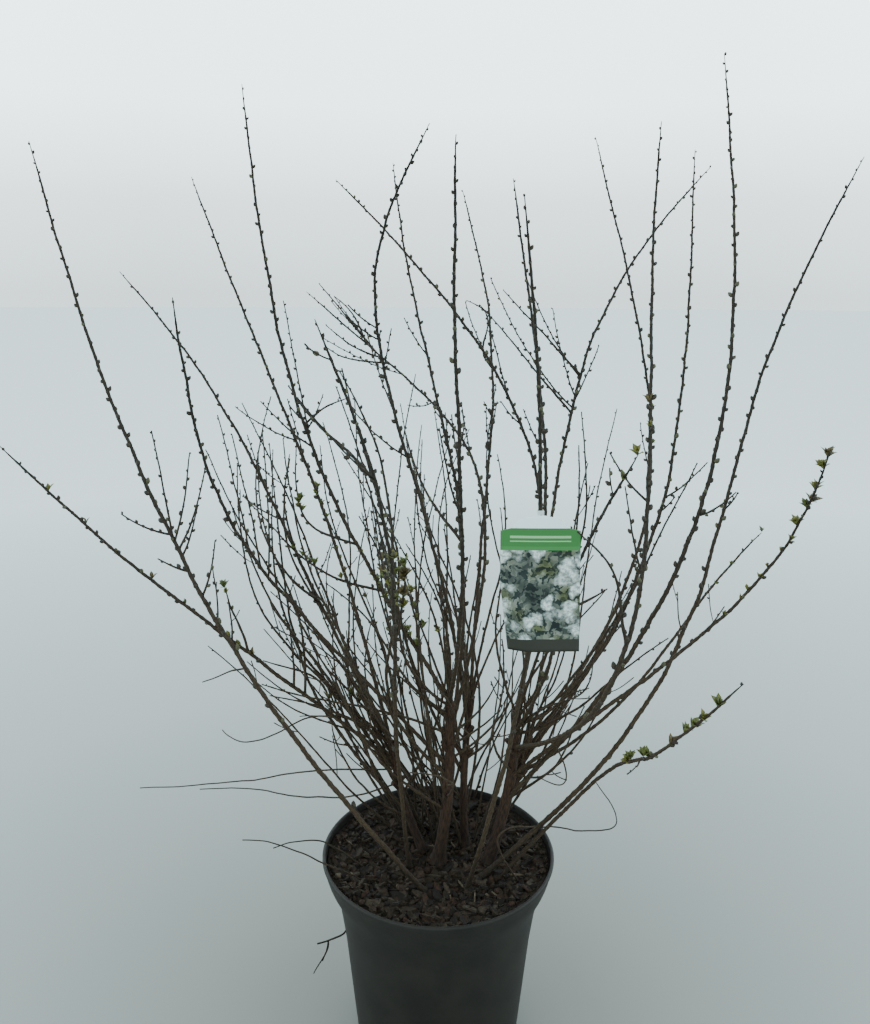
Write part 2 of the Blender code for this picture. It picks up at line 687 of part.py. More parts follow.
def make_stems(crowd, placed):
    bark = material("old_bark", OLD_BARK)
    stems = {}
    for stem in STEMS:
        path = stem_path(stem)
        limb(stem.name, path, STEM_SIDES, bark, flat_foot=GROUND + GAP)
        crowd.add(path, stem.name)
        placed.append((stem.name, path, STEM_SIDES, GROUND))
        stems[stem.name] = path
    return stems


def make_boughs(stems, crowd, placed):
    """Each cane's lower part, cut clear of the limbs before it. It returns the leaders' paths."""
    bark = material("cane_bark", CANE_BARK)
    leaders = {}
    for cane in CANES:
        name = "bough_" + cane.name
        path = cane_path(cane, stems, BOUGH_SHARES)
        leader = cane_path(cane, stems, LEADER_SHARES)
        path, leader = path._replace(after=leader.points[1]), leader._replace(before=path.points[-2])
        bough = limb(name, path, BOUGH_SIDES, bark, GROUND + GAP if from_ground(cane) else None)
        near = crowd.touched(path.points[0], FOOT_SPREAD, set())
        for point, radius in spots_of(path):
            near |= crowd.touched(point, radius, set())
        cutters = [
            limb("room", other, sides, flat_foot=level, grow=GAP)
            for owner, other, sides, level in placed if owner in near
        ]
        if cutters:
            apply_boolean(bough, cutters, "DIFFERENCE", "MANIFOLD")
            keep_largest_piece(bough)
        leader.points[0] += (leader.points[1] - leader.points[0]).normalized() * GAP
        leaders[cane.name] = leader
        crowd.add(cane_path(cane, stems, BOUGH_SHARES + LEADER_SHARES[1:]), name)
        placed.append((name, path, BOUGH_SIDES, GROUND if from_ground(cane) else None))
    return leaders


def make_plant():
    crowd = Crowd()
    placed = []  # name, path, sides and ground level of each limb, to cut the next ones by
    stems = make_stems(crowd, placed)
    leaders = make_boughs(stems, crowd, placed)
    for row in make_label(leaders[LABEL_CANE], LABEL_AT):
        crowd.add(row, "label")
    shoot_bark = material("shoot_bark", SHOOT_BARK)
    for cane in CANES:
        mass_of(cane, leaders[cane.name], crowd, shoot_bark)


clear_scene()
make_pot()
make_potting_mix()
make_plant()
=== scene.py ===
import math
import random
from collections import namedtuple

import bmesh
import bpy
import numpy as np
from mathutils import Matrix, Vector, kdtree, noise


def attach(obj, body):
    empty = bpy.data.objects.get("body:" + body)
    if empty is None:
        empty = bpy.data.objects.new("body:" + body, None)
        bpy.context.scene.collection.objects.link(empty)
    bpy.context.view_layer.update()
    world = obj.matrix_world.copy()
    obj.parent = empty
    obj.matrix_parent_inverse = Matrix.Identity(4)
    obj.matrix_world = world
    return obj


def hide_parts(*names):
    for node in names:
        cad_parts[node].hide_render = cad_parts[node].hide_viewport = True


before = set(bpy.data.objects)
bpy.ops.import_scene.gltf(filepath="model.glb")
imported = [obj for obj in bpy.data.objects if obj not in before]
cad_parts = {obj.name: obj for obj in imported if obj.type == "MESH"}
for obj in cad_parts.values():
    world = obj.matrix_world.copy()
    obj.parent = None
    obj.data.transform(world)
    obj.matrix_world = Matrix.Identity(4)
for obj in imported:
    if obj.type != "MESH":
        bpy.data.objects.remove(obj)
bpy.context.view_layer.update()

# The pot: a black nursery pot blown from thin plastic, with a plain wall that narrows to a flat
# foot, a wider top that it is stacked by, a rolled lip, and drain holes in its floor.
# It is drawn up ring by ring from a disc, over the lip and down inside to the floor.
GAP = 0.0003
POT_HEIGHT = 0.227
POT_SIDES = 128
POT_OUTSIDE = (
    (0.0925, 0.0000), (0.0950, 0.0010), (0.0956, 0.0030), (0.1030, 0.0620), (0.1115, 0.1300),
    (0.1166, 0.1600), (0.1188, 0.1710), (0.1212, 0.1790), (0.1240, 0.1860), (0.1275, 0.1930),
    (0.1310, 0.1995), (0.1338, 0.2060), (0.1358, 0.2120), (0.1374, 0.2180), (0.1390, 0.2215),
    (0.1398, 0.2236), (0.1398, 0.2254), (0.1389, 0.2267), (0.1374, 0.2270),
)
POT_INSIDE = (
    (0.1362, 0.2262), (0.1356, 0.2240), (0.1349, 0.2180), (0.1336, 0.2120), (0.1316, 0.2060),
    (0.1288, 0.1995), (0.1253, 0.1930), (0.1218, 0.1860), (0.1190, 0.1790), (0.1166, 0.1710),
    (0.1146, 0.1600), (0.1096, 0.1300), (0.1010, 0.0620), (0.0934, 0.0050), (0.0918, 0.0034),
)


def settle(thing, name, body="root"):
    """Gives a finished piece its name, its place at the origin and its body."""
    bpy.ops.object.select_all(action="DESELECT")
    thing.select_set(True)
    bpy.context.view_layer.objects.active = thing
    bpy.ops.object.transform_apply(location=True, rotation=True, scale=True)
    thing.name = name
    thing.data.name = name
    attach(thing, body)


def new_finish(name, colour, roughness):
    """A material with a plain base colour, ready for its pattern."""
    finish = bpy.data.materials.new(name)
    finish.use_nodes = True
    shader = finish.node_tree.nodes["Principled BSDF"]
    shader.inputs["Base Color"].default_value = (*colour, 1.0)
    shader.inputs["Roughness"].default_value = roughness
    shader.inputs["Specular IOR Level"].default_value = 0.30
    finish.diffuse_color = (*colour, 1.0)
    return finish, shader


def add_node(finish, kind, settings=None, **inputs):
    node = finish.node_tree.nodes.new("ShaderNode" + kind)
    for key, value in (settings or {}).items():
        setattr(node, key, value)
    for key, value in inputs.items():
        node.inputs[key.replace("_", " ")].default_value = value
    return node


def wire(finish, source, output, target, entry):
    finish.node_tree.links.new(source.outputs[output], target.inputs[entry])


def mottled(finish, shader, place, output, scale, dark, light, bump, detail=5.0, low=0.35, high=0.65):
    """Noise that shades the base colour between two tones and raises a fine relief."""
    grain = add_node(finish, "TexNoise", Scale=scale, Detail=detail, Roughness=0.6)
    wire(finish, place, output, grain, "Vector")
    tones = add_node(finish, "ValToRGB")
    tones.color_ramp.elements[0].position = low
    tones.color_ramp.elements[0].color = (*dark, 1.0)
    tones.color_ramp.elements[1].position = high
    tones.color_ramp.elements[1].color = (*light, 1.0)
    wire(finish, grain, "Fac", tones, "Fac")
    relief = add_node(finish, "Bump", Strength=bump, Distance=0.001)
    wire(finish, grain, "Fac", relief, "Height")
    wire(finish, relief, "Normal", shader, "Normal")
    return tones, grain, relief


bpy.ops.object.select_all(action="DESELECT")
bpy.ops.mesh.primitive_circle_add(vertices=POT_SIDES, radius=POT_OUTSIDE[0][0], fill_type="NGON")
pot = bpy.context.object
bpy.ops.object.mode_set(mode="EDIT")
bpy.ops.mesh.select_all(action="SELECT")
before = POT_OUTSIDE[0]
for ring in POT_OUTSIDE[1:] + POT_INSIDE:
    bpy.ops.mesh.extrude_region_move(TRANSFORM_OT_translate={"value": (0, 0, ring[1] - before[1])})
    share = ring[0] / before[0]
    bpy.ops.transform.resize(value=(share, share, 1), center_override=(0, 0, ring[1]))
    before = ring
bpy.ops.object.mode_set(mode="OBJECT")
drills = []
for number in range(6):
    turn = math.tau * number / 6
    bpy.ops.mesh.primitive_cylinder_add(
        vertices=24, radius=0.006, depth=0.02,
        location=(0.070 * math.cos(turn), 0.070 * math.sin(turn), 0.0),
    )
    drills.append(bpy.context.object)
for drill in drills:
    bpy.context.view_layer.objects.active = pot
    hole = pot.modifiers.new("hole", "BOOLEAN")
    hole.operation = "DIFFERENCE"
    hole.solver = "EXACT"
    hole.object = drill
    bpy.ops.object.modifier_apply(modifier=hole.name)
    bpy.data.objects.remove(drill, do_unlink=True)
settle(pot, "pot_shell")
bpy.ops.object.shade_smooth_by_angle(angle=math.radians(50))
plastic, shader = new_finish("black_pot_plastic", (0.0112, 0.0099, 0.0073), 0.60)
place = add_node(plastic, "TexCoord")
tones, grain, relief = mottled(
    plastic, shader, place, "Object", 26.0, (0.0082, 0.0073, 0.0054), (0.0147, 0.0131, 0.0097), 0.06
)
wire(plastic, tones, "Color", shader, "Base Color")
dust = add_node(plastic, "MapRange")
dust.inputs["To Min"].default_value = 0.52
dust.inputs["To Max"].default_value = 0.70
wire(plastic, grain, "Fac", dust, "Value")
wire(plastic, dust, "Result", shader, "Roughness")
pot.data.materials.append(plastic)
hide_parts("pot")

# The potting mix: a bed of damp fine bark that fills the pot to just under its rim and lies a
# little higher along the wall, with chips of composted bark, a few splinters of pale wood and crumbs lying on it.
# The bed is a lumpy disc drawn down inside the pot to its floor, and the chips are flat broken
# slabs strewn over it in seeded order.
GROUND = 0.212
GROUND_RISE = 0.0065
BED_RADIUS = 0.1340
FILL_GAP = 0.0004
CHIPS = 1700
CRUMBS = 2400
SPLINTERS = 26
CHIP_TONES = (
    ("chip_umber", (0.0180, 0.0112, 0.0053), 84), ("chip_black", (0.0084, 0.0060, 0.0036), 66),
    ("chip_russet", (0.025, 0.0126, 0.0063), 28), ("chip_grey", (0.033, 0.0250, 0.0155), 21),
    ("chip_pale", (0.080, 0.062, 0.040), 1),
)


def mesh_of(name, corners, faces, finishes, tones=None, smooth=False):
    """One object from arrays of corners and faces, with a finish for each face where told."""
    mesh = bpy.data.meshes.new(name)
    mesh.from_pydata(corners, [], faces)
    for finish in finishes:
        mesh.materials.append(finish)
    if tones is not None:
        mesh.polygons.foreach_set("material_index", tones)
    mesh.polygons.foreach_set("use_smooth", [smooth] * len(mesh.polygons))
    mesh.update()
    made = bpy.data.objects.new(name, mesh)
    bpy.context.scene.collection.objects.link(made)
    return made


def ground_at(x, y):
    """The bed's height: level round the stems, a little higher and rougher towards the wall."""
    out = math.hypot(x, y) / BED_RADIUS
    rise = GROUND_RISE * max(0.0, (out - 0.62) / 0.38)
    lumps = noise.noise(Vector((x * 45, y * 45, 3.1))) * 0.0016
    crumble = noise.noise(Vector((x * 210, y * 210, 7.7))) * 0.0009
    return GROUND + rise + (lumps + crumble) * min(1.0, 0.35 + out)


bpy.ops.object.select_all(action="DESELECT")
bpy.ops.mesh.primitive_circle_add(vertices=96, radius=BED_RADIUS, fill_type="NGON", location=(0, 0, GROUND))
bed = bpy.context.object
bpy.ops.object.mode_set(mode="EDIT")
bpy.ops.mesh.select_all(action="SELECT")
for ring in range(46):
    bpy.ops.mesh.inset(thickness=BED_RADIUS / 48, depth=0.0)
bpy.ops.object.mode_set(mode="OBJECT")
for vert in bed.data.vertices:
    vert.co.z = ground_at(vert.co.x, vert.co.y) - GROUND
bpy.context.view_layer.objects.active = bed
bpy.ops.object.mode_set(mode="EDIT")
bpy.ops.mesh.select_all(action="SELECT")
width, level = BED_RADIUS, GROUND
for radius, height in [point for point in POT_INSIDE if point[1] < GROUND - 0.005]:
    bpy.ops.mesh.extrude_region_move(TRANSFORM_OT_translate={"value": (0, 0, height - level)})
    narrowing = (radius - FILL_GAP) / width
    bpy.ops.transform.resize(value=(narrowing, narrowing, 1), center_override=(0, 0, height))
    width, level = radius - FILL_GAP, height
bpy.ops.transform.resize(value=(1, 1, 0), center_override=(0, 0, level))
bpy.ops.mesh.select_all(action="SELECT")
bpy.ops.mesh.normals_make_consistent(inside=False)
bpy.ops.object.mode_set(mode="OBJECT")
settle(bed, "bark_mix_bed")
bed.data.polygons.foreach_set("use_smooth", [True] * len(bed.data.polygons))
peat, shader = new_finish("damp_bark_fines", (0.015, 0.0105, 0.0062), 0.95)
place = add_node(peat, "TexCoord")
tones, grain, relief = mottled(
    peat, shader, place, "Object", 320.0, (0.006, 0.0039, 0.0023), (0.025, 0.0160, 0.0085), 0.9
)
wire(peat, tones, "Color", shader, "Base Color")
bed.data.materials.append(peat)
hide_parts("potting_mix")


def slab(dice, middle, size):
    """A broken chip: a lopsided slab of six sides, tilted as it fell. 12 corners, 20 triangles."""
    long, wide, thick = size
    turn = dice.uniform(0, math.tau)
    tilt = dice.gauss(0.0, 0.30)
    roll = dice.gauss(0.0, 0.30)
    ring = []
    for number in range(6):
        angle = math.tau * number / 6 + dice.uniform(-0.25, 0.25)
        reach = dice.uniform(0.75, 1.1)
        ring.append((math.cos(angle) * long * reach / 2, math.sin(angle) * wide * reach / 2))
    corners = []
    for level in (-0.5, 0.5):
        for x, y in ring:
            shrink = 1.0 if level < 0 else dice.uniform(0.72, 0.95)
            x2, y2, z2 = x * shrink, y * shrink, level * thick * dice.uniform(0.7, 1.3)
            z2 += x2 * math.sin(tilt) + y2 * math.sin(roll)
            corners.append((
                middle[0] + x2 * math.cos(turn) - y2 * math.sin(turn),
                middle[1] + x2 * math.sin(turn) + y2 * math.cos(turn),
                middle[2] + z2,
            ))
    faces = [(5, 4, 3, 2, 1, 0), (6, 7, 8, 9, 10, 11)]
    faces += [(n, (n + 1) % 6, 6 + (n + 1) % 6, 6 + n) for n in range(6)]
    return corners, faces


dice = random.Random(21)
corners, faces, tones = [], [], []
tone_bag = [index for index, (_, _, count) in enumerate(CHIP_TONES) for _ in range(count)]
for number in range(CHIPS + CRUMBS):
    if number < CHIPS:
        bulk = dice.choice((0.8, 0.9, 1.0, 1.1, 1.7))
        size = (dice.uniform(0.006, 0.017) * bulk, dice.uniform(0.004, 0.009) * bulk, dice.uniform(0.0014, 0.0032))
    else:
        size = (dice.uniform(0.0018, 0.004), dice.uniform(0.0014, 0.003), dice.uniform(0.0008, 0.002))
    out = (BED_RADIUS - size[0] * 0.55) * math.sqrt(dice.random())
    turn = dice.uniform(0, math.tau)
    x, y = out * math.cos(turn), out * math.sin(turn)
    lift = size[2] * dice.uniform(0.1, 0.9)
    shape, sides = slab(dice, (x, y, ground_at(x, y) + lift), size)
    faces += [tuple(len(corners) + index for index in side) for side in sides]
    corners += shape
    tones += [dice.choice(tone_bag)] * len(sides)
for number in range(SPLINTERS):
    out, turn = BED_RADIUS * 0.86 * math.sqrt(dice.random()), dice.uniform(0, math.tau)
    x, y = out * math.cos(turn), out * math.sin(turn)
    shape, sides = slab(dice, (x, y, ground_at(x, y) + 0.003), (dice.uniform(0.014, 0.030), 0.0022, 0.0014))
    faces += [tuple(len(corners) + index for index in side) for side in sides]
    corners += shape
    tones += [dice.choice((3, 3, 4))] * len(sides)
chip_finishes = []
for name, colour, _ in CHIP_TONES:
    finish, shader = new_finish(name, colour, 0.9)
    place = add_node(finish, "TexCoord")
    dark = tuple(part * 0.6 for part in colour)
    light = tuple(part * 1.45 for part in colour)
    shades, grain, relief = mottled(finish, shader, place, "Object", 260.0, dark, light, 0.5)
    wire(finish, shades, "Color", shader, "Base Color")
    chip_finishes.append(finish)
chips = mesh_of("bark_chips", corners, faces, chip_finishes, tones)
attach(chips, "root")

# The old stems: five short trunks that canes have been cut back to for years. Each stands on the
# mix with a flared foot, leans, and ends in a knuckle with a few cut stubs. Their bark is red-brown, ridged lengthwise,
# with lumps where old canes were taken off.
CLEARANCE = 0.0015
SPOT_SPACING = 0.004
WIDEST = 0.012
CROWN_REACH = 0.505
CROWN_TOP = 1.175
GOLDEN_ANGLE = math.radians(137.5)
STEM_SHARES = (0.0, 0.03, 0.08, 0.18, 0.34, 0.52, 0.70, 0.86, 0.96, 1.0)
Stem = namedtuple("Stem", "name foot tip girth_foot girth_tip bow")
STEMS = [
    Stem("stem_left", (0.000, -0.005), (0.013, -0.010, 0.413), 0.0145, 0.0105, 0.03),
    Stem("stem_right", (0.060, -0.005), (0.094, 0.005, 0.397), 0.0145, 0.0105, 0.05),
    Stem("stem_middle", (0.033, 0.030), (0.040, 0.035, 0.398), 0.0105, 0.0080, -0.03),
    Stem("stem_back_left", (-0.018, 0.016), (-0.058, 0.030, 0.343), 0.0105, 0.0080, 0.05),
    Stem("stem_back_right", (0.062, 0.042), (0.119, 0.080, 0.328), 0.0105, 0.0080, 0.06),
]
Path = namedtuple("Path", "points radii")


def arched(foot, tip, bends, shares):
    """Points from foot to tip. The run bellies down and out and to its left by the first two
    bends, and in an S by the last two."""
    line = tip - foot
    outward = Vector((line.x, line.y, 0.0)).normalized()
    left = Vector((-outward.y, outward.x, 0.0))
    down = left.cross(line.normalized())
    if down.z > 0:
        down = -down
    belly = (down * bends[0] + left * bends[1]) * line.length
    snake = (down * bends[2] + left * bends[3]) * line.length
    return [
        foot + line * share + belly * math.sin(math.pi * share) + snake * math.sin(math.tau * share)
        for share in shares
    ]


def stem_path(stem, shares):
    foot = Vector((*stem.foot, GROUND + GAP))
    tip = Vector(stem.tip)
    radii = []
    for share in shares:
        height = share * (tip - foot).length
        plain = (stem.girth_foot + (stem.girth_tip - stem.girth_foot) * share) / 2
        flare = 1.0 + 0.75 * math.exp(-height / 0.009)
        knuckle = 1.0 + 0.22 * math.exp(-(((share - 0.97) / 0.07) ** 2))
        radii.append(plain * flare * knuckle)
    return Path(arched(foot, tip, (stem.bow, 0.0, 0.0, 0.0), shares), radii)


def length_of(path):
    return sum((last - first).length for first, last in zip(path.points, path.points[1:]))


def spaced(count):
    return [number / (count - 1) for number in range(count)]


def frames_along(points):
    """The direction and two directions square to it at each point, turning as little as can be."""
    spots = np.array([tuple(point) for point in points])
    ways = np.gradient(spots, axis=0)
    ways /= np.linalg.norm(ways, axis=1)[:, None]
    across = np.cross(ways[0], (0.0, 0.0, 1.0) if abs(ways[0][2]) < 0.9 else (1.0, 0.0, 0.0))
    firsts, seconds = [], []
    for way in ways:
        across = across - way * across.dot(way)
        across = across / np.linalg.norm(across)
        firsts.append(across)
        seconds.append(np.cross(way, across))
    return spots, ways, np.array(firsts), np.array(seconds)


class Bundle:
    """Limbs gathered as arrays of corners, faces and grain, to become one joined mesh."""

    def __init__(self):
        self.corners, self.faces, self.grain, self.tones, self.count = [], [], [], [], 0

    def add(self, path, sides, relief=None, shift=0.0, tone=0, pointed=False):
        spots, ways, firsts, seconds = frames_along(path.points)
        rings = len(spots)
        turns = np.arange(sides) * (math.tau / sides)
        radii = np.array(path.radii)[:, None] * np.ones(sides)[None, :]
        steps = np.r_[0.0, np.cumsum(np.linalg.norm(np.diff(spots, axis=0), axis=1))]
        girth = float(np.mean(path.radii))
        grain = np.empty((rings, sides, 3))
        grain[:, :, 0] = np.cos(turns)[None, :] * girth + shift
        grain[:, :, 1] = np.sin(turns)[None, :] * girth
        grain[:, :, 2] = steps[:, None]
        if relief is not None:
            radii = radii * relief(grain, radii)
        around = (
            firsts[:, None, :] * np.cos(turns)[None, :, None]
            + seconds[:, None, :] * np.sin(turns)[None, :, None]
        )
        corners = spots[:, None, :] + around * radii[:, :, None]
        self.corners.append(corners.reshape(-1, 3))
        self.grain.append(grain.reshape(-1, 3))
        index = np.arange(rings * sides).reshape(rings, sides) + self.count
        lower, upper = index[:-1], index[1:]
        quads = np.stack(
            [lower, np.roll(lower, -1, 1), np.roll(upper, -1, 1), upper], axis=-1
        ).reshape(-1, 4)
        self.faces += quads.tolist()
        self.faces.append(index[0][::-1].tolist())
        self.faces.append(index[-1].tolist())
        self.tones += [tone] * (len(quads) + 2)
        self.count += rings * sides

    def add_shape(self, corners, faces, tone=0):
        self.corners.append(corners)
        self.grain.append(corners)
        self.faces += [[self.count + index for index in face] for face in faces]
        self.tones += [tone] * len(faces)
        self.count += len(corners)

    def mesh(self, name, finishes, smooth=True):
        made = mesh_of(name, np.vstack(self.corners).tolist(), self.faces, finishes, self.tones, smooth)
        grain = made.data.attributes.new("grain", "FLOAT_VECTOR", "POINT")
        grain.data.foreach_set("vector", np.vstack(self.grain).astype(np.float32).ravel())
        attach(made, "root")
        return made


def stem_relief(grain, radii):
    """Lengthwise ridges, broken lumps and a little flaking."""
    rings, sides, _ = grain.shape
    out = np.ones((rings, sides))
    for row in range(rings):
        for side in range(sides):
            x, y, z = grain[row, side]
            ridge = noise.noise(Vector((x * 420, y * 420, z * 55)))
            lump = noise.noise(Vector((x * 150 + 9, y * 150, z * 70)))
            flake = noise.noise(Vector((x * 900, y * 900 + 4, z * 260)))
            out[row, side] += 0.085 * ridge + 0.13 * lump + 0.04 * flake
    return out


stem_shapes = Bundle()
stems = {}
for number, stem in enumerate(STEMS):
    stems[stem.name] = stem_path(stem, STEM_SHARES)
    path = stem_path(stem, spaced(150))
    stem_shapes.add(path, 28, stem_relief, shift=number * 0.31)
    dice = random.Random(60 + number)
    for stub in range(4):
        root = path.points[int(149 * dice.uniform(0.55, 0.98))]
        turn, lean = dice.uniform(0.0, math.tau), math.radians(dice.uniform(20, 50))
        way = Vector((math.sin(lean) * math.cos(turn), math.sin(lean) * math.sin(turn), math.cos(lean)))
        reach = stem.girth_tip / 2 + dice.uniform(0.006, 0.020)
        run = [root + way * (reach * share) for share in spaced(12)]
        stem_shapes.add(Path(run, [0.0036 - 0.0008 * share for share in spaced(12)]), 12, stem_relief, shift=stub * 0.07)


def bark_finish(name, low_dark, low_light, high_dark, high_light, fine, rise=(0.40, 0.72)):
    """Bark that follows the limb's grain, red-brown low on the plant and olive grey higher up, and darker near the mix:
    painted shade of the crowded foot, with some soil stain.
    """
    finish, shader = new_finish(name, low_light, 0.82)
    grain = add_node(finish, "Attribute", {"attribute_name": "grain"})
    stretch = add_node(finish, "Mapping", Scale=(1.0, 1.0, 0.16))
    wire(finish, grain, "Vector", stretch, "Vector")
    low, streaks, relief = mottled(
        finish, shader, stretch, "Vector", fine, low_dark, low_light, 0.8, 6.0, 0.38, 0.66
    )
    high = add_node(finish, "ValToRGB")
    high.color_ramp.elements[0].position = 0.38
    high.color_ramp.elements[0].color = (*high_dark, 1.0)
    high.color_ramp.elements[1].position = 0.66
    high.color_ramp.elements[1].color = (*high_light, 1.0)
    wire(finish, streaks, "Fac", high, "Fac")
    place = add_node(finish, "TexCoord")
    apart = add_node(finish, "SeparateXYZ")
    wire(finish, place, "Object", apart, "Vector")
    level = add_node(finish, "MapRange")
    level.inputs["From Min"].default_value = rise[0]
    level.inputs["From Max"].default_value = rise[1]
    wire(finish, apart, "Z", level, "Value")
    blend = add_node(finish, "Mix", {"data_type": "RGBA"})
    wire(finish, level, "Result", blend, 0)
    wire(finish, low, "Color", blend, 6)
    wire(finish, high, "Color", blend, 7)
    # Darker near the mix: painted shade of the crowded foot, with some soil stain.
    foot_shade_and_stain = add_node(finish, "MapRange")
    for entry, value in (("From Min", 0.212), ("From Max", 0.310), ("To Min", 0.40), ("To Max", 1.0)):
        foot_shade_and_stain.inputs[entry].default_value = value
    wire(finish, apart, "Z", foot_shade_and_stain, "Value")
    shaded_and_stained = add_node(finish, "Mix", {"data_type": "RGBA", "blend_type": "MULTIPLY"})
    shaded_and_stained.inputs[0].default_value = 1.0
    finish.node_tree.links.new(blend.outputs[2], shaded_and_stained.inputs[6])
    finish.node_tree.links.new(foot_shade_and_stain.outputs["Result"], shaded_and_stained.inputs[7])
    finish.node_tree.links.new(shaded_and_stained.outputs[2], shader.inputs["Base Color"])
    return finish


OLD_BARK = bark_finish(
    "old_ridged_bark", (0.010, 0.0056, 0.0030), (0.068, 0.034, 0.0165),
    (0.010, 0.0056, 0.0030), (0.068, 0.036, 0.0175), 900.0,
)
old_stems = stem_shapes.mesh("old_stems", [OLD_BARK])
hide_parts(*[stem.name for stem in STEMS])

# The canes: last years' long shoots, one from each place on a stem or straight from the mix. Each
# is one limb that arches up and out and tapers all the way. Its lower part is a smooth red-brown
# bough with fine ridges and a ring at each old leaf scar; its upper part is drawn with the shoots.
SPLIT = 0.42
BOUGH_SHARES = (0.0, 0.01, 0.025, 0.06, 0.11, 0.17, 0.23, 0.295, 0.36, SPLIT)
LEADER_SHARES = (SPLIT, 0.49, 0.56, 0.63, 0.70, 0.77, 0.84, 0.90, 0.955, 1.0)
TIP_RADIUS = 0.0009
TAPER = 0.8
SLIM = 0.72  # the real canes are this much thinner than the solids at the foot, and alike at the tip
NODE_SPACING = 0.0105
CANE_STEP = 0.003
Cane = namedtuple("Cane", "name source tip bends girth shoots")
CANES = [
    Cane("left_long", (-0.016, -0.059), (185, 0.462, 1.067), (0.040, 0.072, -0.010, 0.027),
         0.0070, ((0.45, 3623), (0.48, 4833), (0.497, 7166), (0.505, 8362), (0.515, 6199),
                  (0.52, 1212), (0.525, 9095))),
    Cane("left_low", ("stem_back_left", 0.80), (192, 0.484, 0.736), (0.018, -0.013, -0.003, -0.011),
         0.0064, ((0.43, 1863), (0.47, 5944))),
    Cane("left_outer", ("stem_back_left", 1.00), (156, 0.487, 0.928), (-0.029, -0.015, 0.023, -0.013),
         0.0062, ((0.43, 2578), (0.47, 4414))),
    Cane("front_left", ("stem_left", 0.60), (230, 0.363, 0.895), (0.011, -0.205, -0.014, -0.022),
         0.0060, ((0.43, 3135), (0.46, 2449), (0.5, 4668))),
    Cane("back_left_high", ("stem_back_left", 0.90), (140, 0.490, 1.074), (0.027, -0.047, 0.011, -0.017),
         0.0066, ((0.43, 6447), (0.45, 4414), (0.5, 6887))),
    Cane("left_high", ("stem_left", 1.00), (180, 0.231, 1.140), (0.107, -0.136, 0.012, -0.038),
         0.0068, ((0.44, 4830), (0.46, 4640), (0.43, 7788), (0.48, 6355))),
    Cane("back_left_fan", ("stem_left", 0.80), (117, 0.482, 0.902), (-0.112, -0.167, -0.045, 0.005),
         0.0060, ((0.79, 2117), (0.8, 7614), (0.72, 1566), (0.45, 9475), (0.5, 3374),
                  (0.62, 6887))),
    Cane("front_left_fan", (-0.034, -0.015), (256, 0.398, 0.880), (-0.052, 0.018, -0.012, -0.017),
         0.0064, ((0.735, 5984), (0.78, 9574), (0.95, 2742), (0.45, 4414), (0.52, 4414),
                  (0.6, 2334))),
    Cane("crossing", ("stem_right", 0.95), (120, 0.303, 1.064), (-0.102, -0.133, 0.027, -0.060),
         0.0062, ((0.45, 2727), (0.5, 4136))),
    Cane("front_high", ("stem_middle", 0.80), (267, 0.241, 1.051), (-0.162, -0.116, 0.057, 0.046),
         0.0060, ((0.645, 261), (0.625, 261), (0.62, 7469), (0.58, 4659), (0.44, 7788),
                  (0.5, 4414))),
    Cane("back_high", ("stem_left", 0.70), (101, 0.391, 1.106), (0.023, -0.047, 0.026, -0.025),
         0.0062, ((0.61, 8045), (0.45, 2981), (0.5, 7510))),
    Cane("front_middle", ("stem_left", 1.00), (272, 0.289, 1.033), (0.031, 0.011, 0.036, 0.006),
         0.0066, ((0.44, 6748), (0.48, 6748), (0.52, 1548))),
    Cane("back_middle", ("stem_middle", 0.90), (85, 0.422, 1.068), (-0.001, -0.048, -0.010, 0.011),
         0.0062, ((0.6, 7123), (0.43, 2588), (0.46, 2981), (0.5, 6355))),
    Cane("middle_high", ("stem_right", 1.00), (30, 0.101, 1.040), (0.019, -0.063, -0.022, -0.002),
         0.0066, ((0.44, 1361), (0.48, 4275))),
    Cane("front_right_high", (0.034, -0.052), (281, 0.336, 0.978), (0.011, 0.050, -0.003, 0.000),
         0.0070, ((0.44, 1548),)),
    Cane("back_right_high", ("stem_back_right", 0.80), (51, 0.361, 1.130), (0.114, -0.115, 0.036, -0.008),
         0.0064, ((0.45, 1548),)),
    Cane("right_inner", ("stem_right", 0.75), (338, 0.249, 1.082), (0.173, -0.164, 0.055, -0.069),
         0.0066, ((0.52, 5086), (0.44, 6494))),
    Cane("right_back", ("stem_back_right", 0.70), (28, 0.392, 1.097), (0.056, -0.080, 0.015, 0.000),
         0.0064, ((0.43, 1251), (0.45, 1594))),
    Cane("right_highest", ("stem_right", 0.40), (0, 0.325, 1.175), (0.095, -0.114, 0.008, 0.005),
         0.0074, ((0.45, 1335),)),
    Cane("right_long", (0.050, -0.034), (359, 0.486, 1.059), (0.100, 0.081, 0.022, -0.031),
         0.0074, ((0.54, 7469),)),
    Cane("right_low", ("stem_right", 0.55), (340, 0.423, 0.740), (0.078, 0.101, -0.028, -0.099),
         0.0062, ((0.52, 3671),)),
    Cane("right_lowest", (0.072, -0.034), (309, 0.405, 0.572), (-0.043, 0.107, -0.034, 0.081),
         0.0058, ((0.6, 4807),)),
    Cane("back_right_arch", ("stem_right", 1.00), (37, 0.507, 1.091), (-0.033, 0.080, 0.015, -0.010),
         0.0064, ((0.48, 5292), (0.49, 3931), (0.5, 1855), (0.535, 8582))),
    Cane("front_right", ("stem_right", 0.85), (300, 0.336, 0.763), (0.023, -0.025, -0.001, 0.019),
         0.0058, ((0.6, 8967), (0.9, 4343))),
    Cane("back_right_low", ("stem_back_right", 0.60), (24, 0.502, 0.563), (0.000, -0.069, 0.023, -0.005),
         0.0058, ((0.6, 6887),)),
]


def from_ground(cane):
    return not isinstance(cane.source[0], str)


